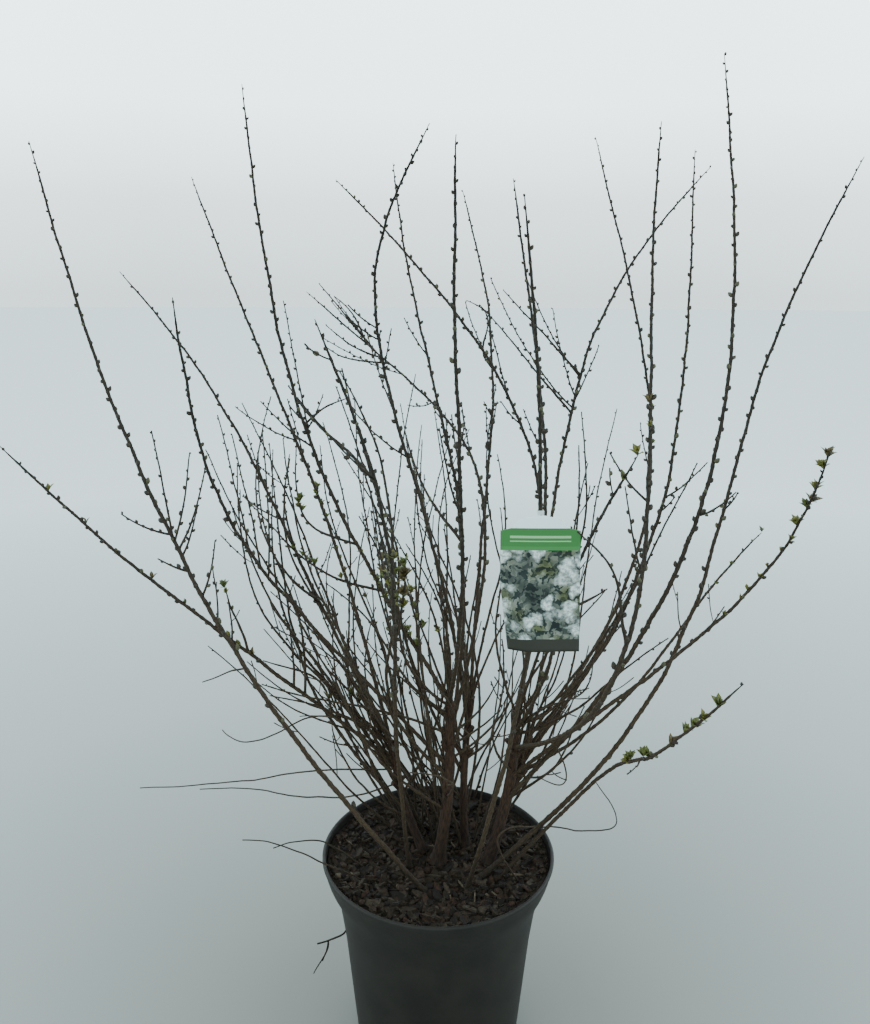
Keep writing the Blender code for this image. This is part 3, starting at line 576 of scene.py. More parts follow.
def foot_at(source):
    """Where a cane springs: on the ground, or in the middle of its stem."""
    if not isinstance(source[0], str):
        return Vector((*source, GROUND + GAP))
    points = stems[source[0]].points
    level = points[0].z + (points[-1].z - points[0].z) * source[1]
    for lower, upper in zip(points, points[1:]):
        if level <= upper.z:
            return lower.lerp(upper, (level - lower.z) / (upper.z - lower.z))
    return points[-1].copy()


def cane_path(cane, shares):
    foot = foot_at(cane.source)
    azimuth, reach, height = cane.tip
    turn = math.radians(azimuth)
    tip = Vector((reach * math.cos(turn), reach * math.sin(turn), height))
    swell = 0.6 if from_ground(cane) else 0.25
    radii = []
    for share in shares:
        plain = TIP_RADIUS + (cane.girth / 2 - TIP_RADIUS) * (1.0 - share) ** TAPER
        rise = share * (tip - foot).length
        radii.append(plain * (1.0 + swell * math.exp(-rise / 0.011)))
    return Path(arched(foot, tip, cane.bends, shares), radii)


def wandering(path, seed, most):
    """The path as it really grew: a little crooked between its ends."""
    total = len(path.points) - 1
    points = []
    run = 0.0
    for number, point in enumerate(path.points):
        if number:
            run += (point - path.points[number - 1]).length
        hold = math.sin(math.pi * number / total) ** 0.5 if 0 < number < total else 0.0
        sway = noise.noise_vector(Vector((seed * 7.3, 1.7, run * 16))) + noise.noise_vector(
            Vector((seed * 3.1, 5.2, run * 60))
        ) * 0.35
        points.append(point + sway * (most * hold))
    return Path(points, path.radii)


def cane_relief(grain, radii):
    """Fine ridges that run down from each node, and a ring where each leaf stood."""
    rings, sides, _ = grain.shape
    out = np.ones((rings, sides))
    start = grain[0, 0, 2]
    for row in range(rings):
        step = (grain[row, 0, 2] - start) / NODE_SPACING
        out[row] += 0.26 * math.exp(-(((step - round(step)) / 0.17) ** 2))
        for side in range(sides):
            x, y, z = grain[row, side]
            out[row, side] += 0.07 * noise.noise(Vector((x * 900, y * 900, z * 60)))
    return out


bough_shapes = Bundle()
whole_canes = {}
for number, cane in enumerate(CANES):
    steps = int(length_of(cane_path(cane, spaced(30))) / CANE_STEP)
    whole = wandering(cane_path(cane, spaced(steps + 1)), number + 1, 0.0022)
    whole.radii[:] = [
        radius * (SLIM + (1.0 - SLIM) * share) * min(1.0, 0.4 + (1.0 - share) * 12.0)
        for radius, share in zip(whole.radii, spaced(steps + 1))
    ]
    whole_canes[cane.name] = whole
    end = int(steps * SPLIT) + 1
    bough_shapes.add(Path(whole.points[: end + 1], whole.radii[: end + 1]), 12, cane_relief, shift=number * 0.17)
CANE_BARK = bark_finish(
    "young_cane_bark", (0.018, 0.0115, 0.0060), (0.074, 0.048, 0.023),
    (0.012, 0.0095, 0.0065), (0.040, 0.031, 0.0205), 1500.0,
)
boughs = bough_shapes.mesh("cane_boughs", [CANE_BARK])
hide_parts(*["bough_" + cane.name for cane in CANES])

# The label: a printed plastic card with an arched white tab, hung on a cane by a small white
# loop. The card is a green heading with two plain pale stripes over a print of white flower clusters
# on grey-green leaves, with a dark foot. One lower corner has curled back.
LABEL_CANE = "front_right_high"
LABEL_AT = 0.350
CARD_WIDTH = 0.074
CARD_HEIGHT = 0.116
CARD_BOW = 0.0012
TAB_HEIGHT = 0.012
TAB_WIDTH = 0.050
LOOP_HEIGHT = 0.005
LOOP_THICKNESS = 0.0012
TONGUE_LENGTH = 0.015


def place_on(path, share):
    """The point, the direction and the radius at a share of a path's number of steps."""
    place = share * (len(path.points) - 1)
    step = min(int(place), len(path.points) - 2)
    first, last = path.points[step], path.points[step + 1]
    return first.lerp(last, place - step), (last - first).normalized(), path.radii[step]


def leader_of(cane):
    leader = cane_path(cane, LEADER_SHARES)
    leader.points[0] += (leader.points[1] - leader.points[0]).normalized() * GAP
    return leader


leaders = {cane.name: leader_of(cane) for cane in CANES}
hung = place_on(leaders[LABEL_CANE], LABEL_AT)[0]
label_cane = whole_canes[LABEL_CANE]
nearest = min(range(len(label_cane.points)), key=lambda step: (label_cane.points[step] - hung).length)
middle, axis, radius = place_on(label_cane, nearest / (len(label_cane.points) - 1))
front = middle.y - radius - GAP - LOOP_THICKNESS
hook = Vector((middle.x, front - LOOP_THICKNESS / 2 - GAP, middle.z - LOOP_HEIGHT / 2))
bpy.ops.object.select_all(action="DESELECT")
bpy.ops.mesh.primitive_grid_add(x_subdivisions=24, y_subdivisions=44, size=1.0)
card = bpy.context.object
card_uv = card.data.uv_layers.new(name="print") if not card.data.uv_layers else card.data.uv_layers[0]
card_uv.name = "print"
whole_height = CARD_HEIGHT + TAB_HEIGHT
flat = {}
for vert in card.data.vertices:
    across, up = vert.co.x * 2.0, vert.co.y + 0.5
    drop = (1.0 - up) * whole_height
    half = CARD_WIDTH / 2
    if drop < TAB_HEIGHT:
        share = drop / TAB_HEIGHT
        half = TAB_WIDTH / 2 * math.sin(math.acos(max(0.0, 1.0 - share)) * 0.94 + 0.08)
    x = across * half
    curl = max(0.0, (-across * 0.5 + 0.5) * 0.9 + (drop / whole_height) * 1.1 - 1.45)
    back = CARD_BOW * (2.0 * x / CARD_WIDTH) ** 2 + curl * curl * 0.045
    flat[vert.index] = (x / CARD_WIDTH + 0.5, 1.0 - drop / whole_height)
    vert.co = (hook.x + x + curl * 0.016, hook.y - 0.0004 + back, hook.z - drop - curl * 0.006)
for loop in card.data.loops:
    card_uv.data[loop.index].uv = flat[loop.vertex_index]
shell = card.modifiers.new("thickness", "SOLIDIFY")
shell.thickness = 0.0006
shell.offset = 0.0
bpy.ops.object.modifier_apply(modifier=shell.name)
settle(card, "label_card_print")
card.data.polygons.foreach_set("use_smooth", [True] * len(card.data.polygons))
ink, shader = new_finish("card_print", (0.30, 0.36, 0.30), 0.32)
uv = add_node(ink, "UVMap", {"uv_map": "print"})
stretch = add_node(ink, "Mapping", Scale=(0.074, 0.128, 1.0))
wire(ink, uv, "UV", stretch, "Vector")
stir = add_node(ink, "TexNoise", Scale=70.0, Detail=3.0, Roughness=0.6)
wire(ink, stretch, "Vector", stir, "Vector")
stirred = add_node(ink, "VectorMath", {"operation": "MULTIPLY_ADD"})
wire(ink, stir, "Color", stirred, 0)
stirred.inputs[1].default_value = (0.022, 0.022, 0.0)
wire(ink, stretch, "Vector", stirred, 2)
leaf_noise = add_node(ink, "TexVoronoi", Scale=300.0, Randomness=1.0)
wire(ink, stirred, "Vector", leaf_noise, "Vector")
leaf_tones = add_node(ink, "ValToRGB")
leaf_tones.color_ramp.elements[0].position = 0.34
leaf_tones.color_ramp.elements[0].color = (0.016, 0.028, 0.026, 1.0)
leaf_tones.color_ramp.elements[1].position = 0.70
leaf_tones.color_ramp.elements[1].color = (0.200, 0.222, 0.186, 1.0)
wire(ink, leaf_noise, "Color", leaf_tones, "Fac")
shade_noise = add_node(ink, "TexNoise", Scale=30.0, Detail=1.0)
wire(ink, stretch, "Vector", shade_noise, "Vector")
olive = add_node(ink, "ValToRGB")
olive.color_ramp.elements[0].position = 0.38
olive.color_ramp.elements[0].color = (0.33, 0.37, 0.35, 1.0)
olive.color_ramp.elements[1].position = 0.60
olive.color_ramp.elements[1].color = (0.50, 0.52, 0.28, 1.0)
midway = olive.color_ramp.elements.new(0.49)
midway.color = (1.0, 1.0, 0.97, 1.0)
wire(ink, shade_noise, "Fac", olive, "Fac")
foliage = add_node(ink, "Mix", {"data_type": "RGBA", "blend_type": "MULTIPLY"})
foliage.inputs[0].default_value = 1.0
wire(ink, leaf_tones, "Color", foliage, 6)
wire(ink, olive, "Color", foliage, 7)
clusters = add_node(ink, "TexVoronoi", Scale=58.0, Randomness=1.0)
wire(ink, stirred, "Vector", clusters, "Vector")
cluster_edge = add_node(ink, "MapRange")
cluster_edge.inputs["From Min"].default_value = 0.52
cluster_edge.inputs["From Max"].default_value = 0.30
wire(ink, clusters, "Distance", cluster_edge, "Value")
florets = add_node(ink, "TexNoise", Scale=260.0, Detail=3.0, Roughness=0.7)
wire(ink, stretch, "Vector", florets, "Vector")
floret_tones = add_node(ink, "ValToRGB")
floret_tones.color_ramp.elements[0].position = 0.36
floret_tones.color_ramp.elements[0].color = (0.220, 0.280, 0.270, 1.0)
floret_tones.color_ramp.elements[1].position = 0.60
floret_tones.color_ramp.elements[1].color = (0.720, 0.810, 0.760, 1.0)
wire(ink, florets, "Fac", floret_tones, "Fac")
picture = add_node(ink, "Mix", {"data_type": "RGBA"})
wire(ink, cluster_edge, "Result", picture, 0)
ink.node_tree.links.new(foliage.outputs[2], picture.inputs[6])
wire(ink, floret_tones, "Color", picture, 7)
height = add_node(ink, "SeparateXYZ")
wire(ink, uv, "UV", height, "Vector")
previous = picture
for level, colour in (
    (0.092, None), (0.745, (0.056, 0.222, 0.060)), (0.772, (0.041, 0.182, 0.044)), (0.906, (0.840, 0.960, 0.980)),
):
    step = add_node(ink, "Math", {"operation": "GREATER_THAN" if colour else "LESS_THAN"})
    wire(ink, height, "Y", step, 0)
    step.inputs[1].default_value = level
    layer = add_node(ink, "Mix", {"data_type": "RGBA"})
    layer.inputs[7].default_value = (*(colour or (0.029, 0.029, 0.021)), 1.0)
    wire(ink, step, "Value", layer, 0)
    ink.node_tree.links.new(previous.outputs[2], layer.inputs[6])
    previous = layer
for level, half_height, half_width in ((0.842, 0.0090, 0.38), (0.811, 0.0040, 0.38)):
    tall = add_node(ink, "Math", {"operation": "COMPARE"})
    wire(ink, height, "Y", tall, 0)
    broad = add_node(ink, "Math", {"operation": "COMPARE"})
    wire(ink, height, "X", broad, 0)
    for edge, centre, reach in ((tall, level, half_height), (broad, 0.5, half_width)):
        edge.inputs[1].default_value, edge.inputs[2].default_value = centre, reach
    bar = add_node(ink, "Math", {"operation": "MULTIPLY"})
    wire(ink, tall, "Value", bar, 0)
    wire(ink, broad, "Value", bar, 1)
    layer = add_node(ink, "Mix", {"data_type": "RGBA"})
    layer.inputs[7].default_value = (0.27, 0.50, 0.25, 1.0)
    wire(ink, bar, "Value", layer, 0)
    ink.node_tree.links.new(previous.outputs[2], layer.inputs[6])
    previous = layer
ink.node_tree.links.new(previous.outputs[2], shader.inputs["Base Color"])
card.data.materials.append(ink)
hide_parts("label_card")
bpy.ops.object.select_all(action="DESELECT")
bpy.ops.mesh.primitive_torus_add(
    major_segments=32, minor_segments=12, major_radius=radius + GAP + 0.0007, minor_radius=0.0006,
    location=middle, rotation=axis.to_track_quat("Z", "Y").to_euler(),
)
loop_ring = bpy.context.object
bpy.ops.mesh.primitive_cube_add(size=1.0, location=(middle.x, front, middle.z + 0.0015 - TONGUE_LENGTH / 2))
strap = bpy.context.object
strap.scale = (0.0062, 0.0009, TONGUE_LENGTH)
rounding = strap.modifiers.new("edges", "BEVEL")
rounding.width = 0.12
rounding.segments = 3
bpy.ops.object.transform_apply(location=False, rotation=False, scale=True)
rounding.width = 0.0003
bpy.ops.object.modifier_apply(modifier=rounding.name)
bpy.ops.object.select_all(action="DESELECT")
strap.select_set(True)
loop_ring.select_set(True)
bpy.context.view_layer.objects.active = loop_ring
bpy.ops.object.join()
settle(loop_ring, "label_loop_strap")
loop_ring.data.polygons.foreach_set("use_smooth", [True] * len(loop_ring.data.polygons))
white, shader = new_finish("loop_white", (0.62, 0.66, 0.66), 0.40)
place = add_node(white, "TexCoord")
tones, grain, relief = mottled(
    white, shader, place, "Object", 140.0, (0.52, 0.56, 0.55), (0.68, 0.72, 0.72), 0.05
)
wire(white, tones, "Color", shader, "Base Color")
loop_ring.data.materials.append(white)
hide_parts("label_loop")

# The shoots: from its leader on, each cane breaks into side shoots by the rule of the solids, with
# the same seed, and those into finer twigs. A shoot that would leave the crown or touch another
# limb is left out.
SHOOT_LEANS = (math.radians(15), math.radians(55))
SHOOT_TIP_RADIUS = 0.0007


class Crowd:
    """Every limb so far, as points along it with their radii, to see what a new one would touch."""

    def __init__(self):
        self.spots, self.tree = [], None

    def add(self, path, owner):
        for point, radius in spots_of(path):
            self.spots.append((point, radius, owner))
        self.tree = None

    def touched(self, point, radius, apart_from):
        if self.tree is None:
            self.tree = kdtree.KDTree(len(self.spots))
            for number, (spot, _, _) in enumerate(self.spots):
                self.tree.insert(spot, number)
            self.tree.balance()
        found = set()
        for _, number, distance in self.tree.find_range(point, radius + WIDEST + CLEARANCE):
            _, other, owner = self.spots[number]
            if owner not in apart_from and distance < radius + other + CLEARANCE:
                found.add(owner)
        return found


def spots_of(path):
    for first, last, start, end in zip(path.points, path.points[1:], path.radii, path.radii[1:]):
        count = max(1, math.ceil((last - first).length / SPOT_SPACING))
        for number in range(count + 1):
            share = number / count
            yield first.lerp(last, share), start + (end - start) * share


def fits(path, crowd, own):
    for point, radius in spots_of(path):
        if math.hypot(point.x, point.y) > CROWN_REACH or point.z > CROWN_TOP:
            return False
        if crowd.touched(point, radius, own):
            return False
    return True


def leaning(along, turn, lean):
    across = along.orthogonal().normalized()
    out = across * math.cos(turn) + along.cross(across) * math.sin(turn)
    return out, along * math.cos(lean) + out * math.sin(lean)


def shoot_path(parent, share, turn, lean, length, rings=4):
    """A side shoot: it leaves its parent at a lean, then bends along it and up."""
    root, along, radius = place_on(parent, share)
    _, lean = leaning(along, turn, lean)
    bend = along * 0.18 + Vector((0.0, 0.0, 0.11))
    thick = radius * 0.55
    points, radii = [], []
    for number in range(rings + 1):
        done = number / rings
        points.append(root + lean * (length * done * 0.8) + bend * (length * done * done))
        radii.append(SHOOT_TIP_RADIUS + (thick - SHOOT_TIP_RADIUS) * (1.0 - done))
    return Path(points, radii)


def leader_step(share):
    for number, (low, high) in enumerate(zip(LEADER_SHARES, LEADER_SHARES[1:])):
        if share <= high:
            return (number + (share - low) / (high - low)) / (len(LEADER_SHARES) - 1)
    return 1.0


def side_shoots(cane, leader, crowd, own):
    for share, lot in cane.shoots:
        dice = random.Random(lot)
        turn = dice.uniform(0.0, math.tau)
        lean = dice.uniform(*SHOOT_LEANS)
        up = (share - SPLIT) / (1.0 - SPLIT)
        length = length_of(leader) * (0.60 - 0.60 * up) * dice.uniform(0.10, 1.10)
        for shrink in (1.0, 0.7, 0.45):
            shoot = shoot_path(leader, leader_step(share), turn, lean, length * shrink)
            if fits(shoot, crowd, own):
                yield (leader_step(share), turn, lean, length * shrink), shoot
                break
            turn += GOLDEN_ANGLE


crowd = Crowd()
for stem in STEMS:
    crowd.add(stems[stem.name], stem.name)
for cane in CANES:
    crowd.add(cane_path(cane, BOUGH_SHARES + LEADER_SHARES[1:]), "bough_" + cane.name)
for number in range(31):
    level = hook.z - whole_height * number / 30
    ends = [Vector((hook.x + half, hook.y, level)) for half in (-CARD_WIDTH / 2, CARD_WIDTH / 2)]
    crowd.add(Path(ends, [0.003, 0.003]), "label")

shoot_shapes = Bundle()
budded = []  # path, spacing of buds, size of buds
fine_twigs = []
for number, cane in enumerate(CANES):
    name = "shoots_" + cane.name
    own = {name, "bough_" + cane.name}
    whole = whole_canes[cane.name]
    steps = len(whole.points) - 1
    start = int(steps * SPLIT) + 1
    leader = Path(whole.points[start:], whole.radii[start:])
    shoot_shapes.add(leader, 8, cane_relief, shift=number * 0.17)
    budded.append((Path(whole.points[start // 3:], whole.radii[start // 3:]), 0.0112, 1.14))
    grown = []
    for growth, plain in side_shoots(cane, leaders[cane.name], crowd, own):
        grown.append(plain)
        fine = shoot_path(leaders[cane.name], *growth, rings=max(6, int(growth[3] / 0.006)))
        fine = wandering(fine, number + len(grown) * 0.37, 0.0016)
        shoot_shapes.add(fine, 6)
        budded.append((fine, 0.0095, 0.85))
        fine_twigs.append((fine, own))
    for plain in grown:
        crowd.add(plain, name)


def finer_twigs(parent, dice, count, shortest, longest, own):
    """Short twigs by the same rule, from a shoot that has already grown."""
    for _ in range(count):
        share = dice.uniform(0.15, 0.85)
        turn = dice.uniform(0.0, math.tau)
        lean = dice.uniform(*SHOOT_LEANS)
        length = dice.uniform(shortest, longest)
        if length > 0.012 and fits(shoot_path(parent, share, turn, lean, length), crowd, own):
            yield wandering(shoot_path(parent, share, turn, lean, length, rings=6), share * 90, 0.001)


PLAIN_ABOVE = 0.52
dice = random.Random(17)
for parent, own in fine_twigs:
    if parent.points[0].z > PLAIN_ABOVE:
        continue
    for twig in finer_twigs(parent, dice, int(length_of(parent) / 0.035), 0.012, 0.045, own):
        shoot_shapes.add(twig, 5)
        budded.append((twig, 0.009, 0.6))
shoots = shoot_shapes.mesh("leaders_and_shoots", [CANE_BARK])
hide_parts(*["shoots_" + cane.name for cane in CANES])

# The thin canes: weaker shoots of the last two summers that stand between the main canes and make
# the middle of the shrub dense. The first rows stand where the photograph shows single ones, and
# the thicket round the stems grows in seeded order, straight from the mix or from the old wood.
THIN_CANES = [
    (("left_outer", 0.27), (-0.22, 0.11, 0.765), (0.17, 0.06, -0.11, 0.22)),
    (("left_outer", 0.35), (-0.19, 0.075, 0.69), (0.02, -0.08, 0, 0)),
    (("left_high", 0.25), (-0.19, 0.13, 0.705), (0.24, 0.09, 0.03, 0)),
    (("front_left_fan", 0.54), (-0.1, -0.185, 0.825), (-0.08, 0, 0, 0.07)),
    (("front_left_fan", 0.77), (-0.14, -0.24, 0.815), (0, 0.02, 0, -0.03)),
    (("back_middle", 0.6), (0.04, 0.29, 0.89), (-0.1, -0.04, 0.11, 0.03)),
    (("back_right_arch", 0.47), (0.055, 0.205, 0.885), (0, -0.02, 0, 0.02)),
    (("back_right_arch", 0.54), (0.09, 0.225, 0.905), (0, 0.02, 0, 0)),
    (("right_inner", 0.35), (0.12, -0.27, 0.69), (-0.06, 0.11, 0.02, -0.03)),
    (("front_right", 0.57), (0.17, -0.155, 0.6), (0.02, -0.02, 0, 0)),
    (("stem_right", 0.9), (0.235, 0.065, 0.51), (0.06, -0.09, 0.11, 0.1)),
    (("front_middle", 0.4), (-0.04, -0.05, 0.745), (0.03, 0.05, 0, 0)),
    (("left_high", 0.47), (-0.12, 0.09, 0.765), (-0.07, 0, 0, 0)),
    (("left_low", 0.24), (-0.225, 0.05, 0.7), (0, 0, -0.03, -0.02)),
    (("left_high", 0.17), (-0.26, 0.125, 0.63), (0.09, 0.04, 0, 0.03)),
    (("left_outer", 0.24), (-0.2, 0.135, 0.685), (0.04, 0.13, 0, 0)),
    (("left_low", 0.27), (-0.175, -0.025, 0.505), (0, 0.02, 0, 0)),
    (("left_low", 0.17), (-0.22, 0.045, 0.44), (-0.08, -0.2, 0, -0.07)),
    (("stem_left", 1), (-0.045, 0.04, 0.565), (0, 0.03, 0, 0)),
    (("stem_left", 1), (-0.05, -0.07, 0.63), (-0.05, 0.03, 0, 0)),
    (("stem_left", 0.92), (-0.13, -0.05, 0.57), (0, 0.05, 0.03, 0.03)),
    (("stem_back_left", 1), (-0.215, 0.07, 0.52), (-0.03, -0.04, 0, 0)),
    (("stem_back_left", 0.98), (-0.2, -0.02, 0.425), (-0.05, -0.02, 0, 0)),
    (("back_left_fan", 0.8), (-0.19, 0.365, 0.915), (0, 0, 0, 0)),
    (("back_left_fan", 0.83), (-0.17, 0.4, 0.895), (-0.08, -0.04, 0, 0)),
    (("back_left_fan", 0.78), (-0.175, 0.335, 0.85), (0.07, 0.02, 0, 0)),
    (("back_left_fan", 0.76), (-0.175, 0.315, 0.82), (0.09, 0, -0.02, 0)),
    (("stem_right", 0.99), (0.21, 0.055, 0.53), (-0.05, 0.02, 0, 0.03)),
    (("stem_right", 0.83), (0.26, -0.055, 0.51), (0.05, 0.04, 0.02, 0)),
    (("stem_back_right", 1), (0.245, 0.13, 0.53), (0.08, -0.04, 0, 0)),
    (("stem_middle", 0.98), (0.05, 0.115, 0.63), (0, 0, 0.04, 0.03)),
    (("stem_middle", 0.95), (0.005, -0.045, 0.63), (0, 0, 0, 0)),
    (("stem_right", 0.98), (0.08, 0.105, 0.62), (-0.04, 0.06, 0, 0.03)),
    (("left_low", 0.39), (-0.25, -0.025, 0.555), (0, 0, -0.02, 0)),
    (("front_left_fan", 0.51), (-0.06, -0.135, 0.62), (0, -0.05, -0.02, -0.03)),
    (("front_left_fan", 0.47), (-0.035, -0.185, 0.63), (0, 0.03, 0, 0)),
    ((-0.004, 0.1), (-0.185, 0.13, 0.535), (0, 0.07, 0, 0)),
    ((-0.012, 0.108), (-0.25, 0.09, 0.42), (0, -0.19, 0, -0.11)),
    ((-0.02, 0.112), (-0.255, 0.135, 0.38), (-0.03, -0.09, -0.03, -0.04)),
    ((0.012, 0.112), (-0.105, 0.155, 0.5), (0.02, 0.03, 0.03, -0.02)),
    ((0.024, 0.108), (-0.05, 0.13, 0.47), (0.07, 0, 0, 0)),
    (("stem_back_left", 1), (-0.18, 0.03, 0.515), (0.06, -0.05, 0, -0.06)),
    ((0.032, 0.12), (0.115, 0.14, 0.39), (0, 0, 0, 0.02)),
    ((0.046, 0.118), (0.11, 0.15, 0.345), (-0.03, 0.02, 0, 0)),
    (("stem_left", 0.74), (0.075, 0.02, 0.39), (0.03, -0.02, 0, 0)),
    (("stem_left", 0.65), (0.1, 0.01, 0.43), (0.09, 0, 0, 0)),
    (("stem_left", 0.8), (0.075, 0.03, 0.425), (0.07, -0.03, 0, 0)),
    (("stem_middle", 0.59), (0.085, 0.05, 0.39), (0.12, -0.07, 0, 0)),
    (("stem_right", 0.85), (0.16, 0.025, 0.395), (0.14, -0.06, -0.02, 0)),
    (("stem_right", 0.7), (0.14, -0.025, 0.375), (-0.02, 0, 0, 0)),
    (("stem_left", 1), (-0.04, -0.01, 0.605), (-0.1, 0, 0, 0)),
]
THIN_GIRTH = 0.0033
THICKET = 79
THICKET_MIDDLE = (0.010, 0.050)


def root_of(source):
    """The point on a main cane, a stem or the ground that a thin cane springs from."""
    if source[0] in whole_canes:
        return place_on(whole_canes[source[0]], source[1])[0].copy()
    return foot_at(source)


def thin_path(root, tip, bends, girth):
    count = max(8, int((tip - root).length / 0.006))
    radii = [0.0006 + (girth / 2 - 0.0006) * (1.0 - share) ** 0.8 for share in spaced(count)]
    return Path(arched(root, tip, bends, spaced(count)), radii)


thin_shapes = Bundle()
thin_paths = []
for number, (source, tip, bends) in enumerate(THIN_CANES):
    path = thin_path(root_of(source), Vector(tip), bends, THIN_GIRTH)
    path = wandering(path, 40 + number, 0.0018)
    thin_paths.append(path)
    crowd.add(path, "thin_canes")
    thin_shapes.add(path, 7, cane_relief, shift=number * 0.13)
    budded.append((path, 0.0115, 0.85))
dice = random.Random(29)
thicket = []
for number in range(THICKET):
    if dice.random() < 0.30:
        spread, turn = dice.uniform(0.0, 1.0) ** 0.5, dice.uniform(0.0, math.tau)
        source = (
            THICKET_MIDDLE[0] + 0.060 * spread * math.cos(turn), THICKET_MIDDLE[1] + 0.028 * spread * math.sin(turn)
        )
        own = {"thin_canes"}
    else:
        stem = dice.choice(STEMS)
        source = (stem.name, dice.uniform(0.25, 1.0))
        own = {"thin_canes", stem.name} | {
            "bough_" + cane.name for cane in CANES if cane.source[0] == stem.name
        }
    root = root_of(source)
    for _ in range(6):
        tall = dice.random() < 0.55
        turn = math.atan2(root.y - 0.03, root.x - 0.04) + dice.gauss(0.0, 0.9)
        reach = dice.uniform(0.03, 0.24)
        height = dice.uniform(0.60, 0.80) if tall else dice.uniform(0.42, 0.58)
        tip = Vector((
            root.x * 0.8 - 0.010 + reach * math.cos(turn), root.y * 0.8 + reach * math.sin(turn), height
        ))
        bends = [dice.gauss(0.04, 0.04), dice.gauss(0.0, 0.05), dice.gauss(0.0, 0.02), dice.gauss(0.0, 0.03)]
        girth = dice.uniform(0.0030, 0.0044) if tall else dice.uniform(0.0024, 0.0036)
        path = thin_path(root, tip, bends, girth)
        if fits(Path(path.points[4:], path.radii[4:]), crowd, own):
            path = wandering(path, 90 + number, 0.0022)
            thicket.append(path)
            crowd.add(path, "thin_canes")
            thin_shapes.add(path, 6, cane_relief, shift=number * 0.11)
            budded.append((path, 0.0125, 0.7))
            break
for path in thicket:
    for twig in finer_twigs(path, dice, int(length_of(path) / 0.110), 0.012, 0.050, {"thin_canes"}):
        thin_shapes.add(twig, 5)
        budded.append((twig, 0.010, 0.6))
thin = thin_shapes.mesh("thin_canes", [CANE_BARK])

# The wiry shoots: a few hair-thin runners that creep out low from the foot of the shrub, hang over
# the pot's rim or curl back on themselves, and a dead twig that has caught over the rim.
WIRES = [
    (("stem_back_left", 0.75), (-0.382, 0.060, 0.266), (-0.01, 0.01, -0.02, 0.02)),
    (("stem_back_left", 0.62), (-0.308, 0.070, 0.259), (0.06, -0.02, 0.02, 0.01)),
    (("left_low", 0.16), (-0.265, 0.016, 0.365), (0.03, 0.11, 0.0, -0.17)),
    (("left_long", 0.36), (-0.257, -0.104, 0.478), (-0.02, -0.01, -0.02, -0.01)),
    ((-0.085, -0.045), (-0.225, -0.060, 0.273), (-0.10, 0.06, -0.03, 0.07)),
    ((-0.085, -0.020), (-0.197, -0.020, 0.238), (-0.16, -0.02, 0.01, 0.01)),
    ((0.095, -0.045), (0.187, -0.020, 0.321), (0.19, 0.23, -0.63, -0.28)),
    (("right_low", 0.16), (0.115, -0.039, 0.339), (0.55, 0.26, -0.07, -0.25)),
    ((-0.020, 0.060), (-0.183, 0.100, 0.342), (-0.19, -0.06, -0.02, 0.12)),
]
wire_shapes = Bundle()
for number, (source, tip, bends) in enumerate(WIRES):
    run = arched(root_of(source), Vector(tip), bends, spaced(40))
    path = Path(run, [0.0011 - 0.0005 * share for share in spaced(40)])
    wire_shapes.add(wandering(path, 200 + number, 0.0030), 6)
DEAD_TWIG = (
    (-0.098, 0.072, 0.2215), (-0.1135, 0.0835, 0.2305), (-0.1150, 0.0830, 0.190), (-0.1080, 0.0780, 0.120),
    (-0.1163, 0.0500, 0.0805), (-0.1420, 0.0500, 0.0696), (-0.1560, 0.0500, 0.0655),
)
run = [Vector(low).lerp(Vector(high), step / 8) for low, high in zip(DEAD_TWIG, DEAD_TWIG[1:]) for step in range(8)]
for _ in range(4):
    run = run[:1] + [(a + b * 2 + c) / 4 for a, b, c in zip(run, run[1:], run[2:])] + run[-1:]
dead = Path(run, [0.0014 - 0.0004 * share for share in spaced(len(run))])
wire_shapes.add(dead, 6)
fork = place_on(dead, 0.84)[0]
for tip in ((-0.1475, 0.050, 0.0430), (-0.1590, 0.050, 0.0262)):
    wire_shapes.add(thin_path(fork, Vector(tip), (0.06, 0.0, 0.02, 0.0), 0.0022), 5)
wires = wire_shapes.mesh("wiry_shoots", [CANE_BARK])

# The buds: small dark scaly points that sit alternately up every shoot, leaning along it. Each is
# a five-sided spindle with its root sunk in the bark.
BUD_SIDES = 5


def bud_shape(root, lean, length, radius):
    side = lean.orthogonal().normalized()
    other = lean.cross(side)
    corners = [tuple(root)]
    for up, out in ((0.20, 0.78), (0.48, 1.0), (0.80, 0.66)):
        for number in range(BUD_SIDES):
            angle = math.tau * number / BUD_SIDES
            reach = side * math.cos(angle) + other * math.sin(angle)
            corners.append(tuple(root + lean * (length * up) + reach * (radius * out)))
    corners.append(tuple(root + lean * length))
    faces = []
    for number in range(BUD_SIDES):
        beside = (number + 1) % BUD_SIDES
        faces.append((0, 1 + beside, 1 + number))
        for ring in range(2):
            lower, upper = 1 + ring * BUD_SIDES, 1 + (ring + 1) * BUD_SIDES
            faces.append((lower + number, lower + beside, upper + beside, upper + number))
        faces.append((1 + 2 * BUD_SIDES + number, 1 + 2 * BUD_SIDES + beside, 1 + 3 * BUD_SIDES))
    return np.array(corners), faces


def along_path(path, spacing, first):
    """Places every spacing along a path, with the direction and the radius there."""
    run, wanted = 0.0, first
    for step, (low, high) in enumerate(zip(path.points, path.points[1:])):
        stretch = (high - low).length
        while wanted <= run + stretch:
            share = (wanted - run) / stretch
            yield low.lerp(high, share), (high - low).normalized(), path.radii[step], wanted
            wanted += spacing
        run += stretch


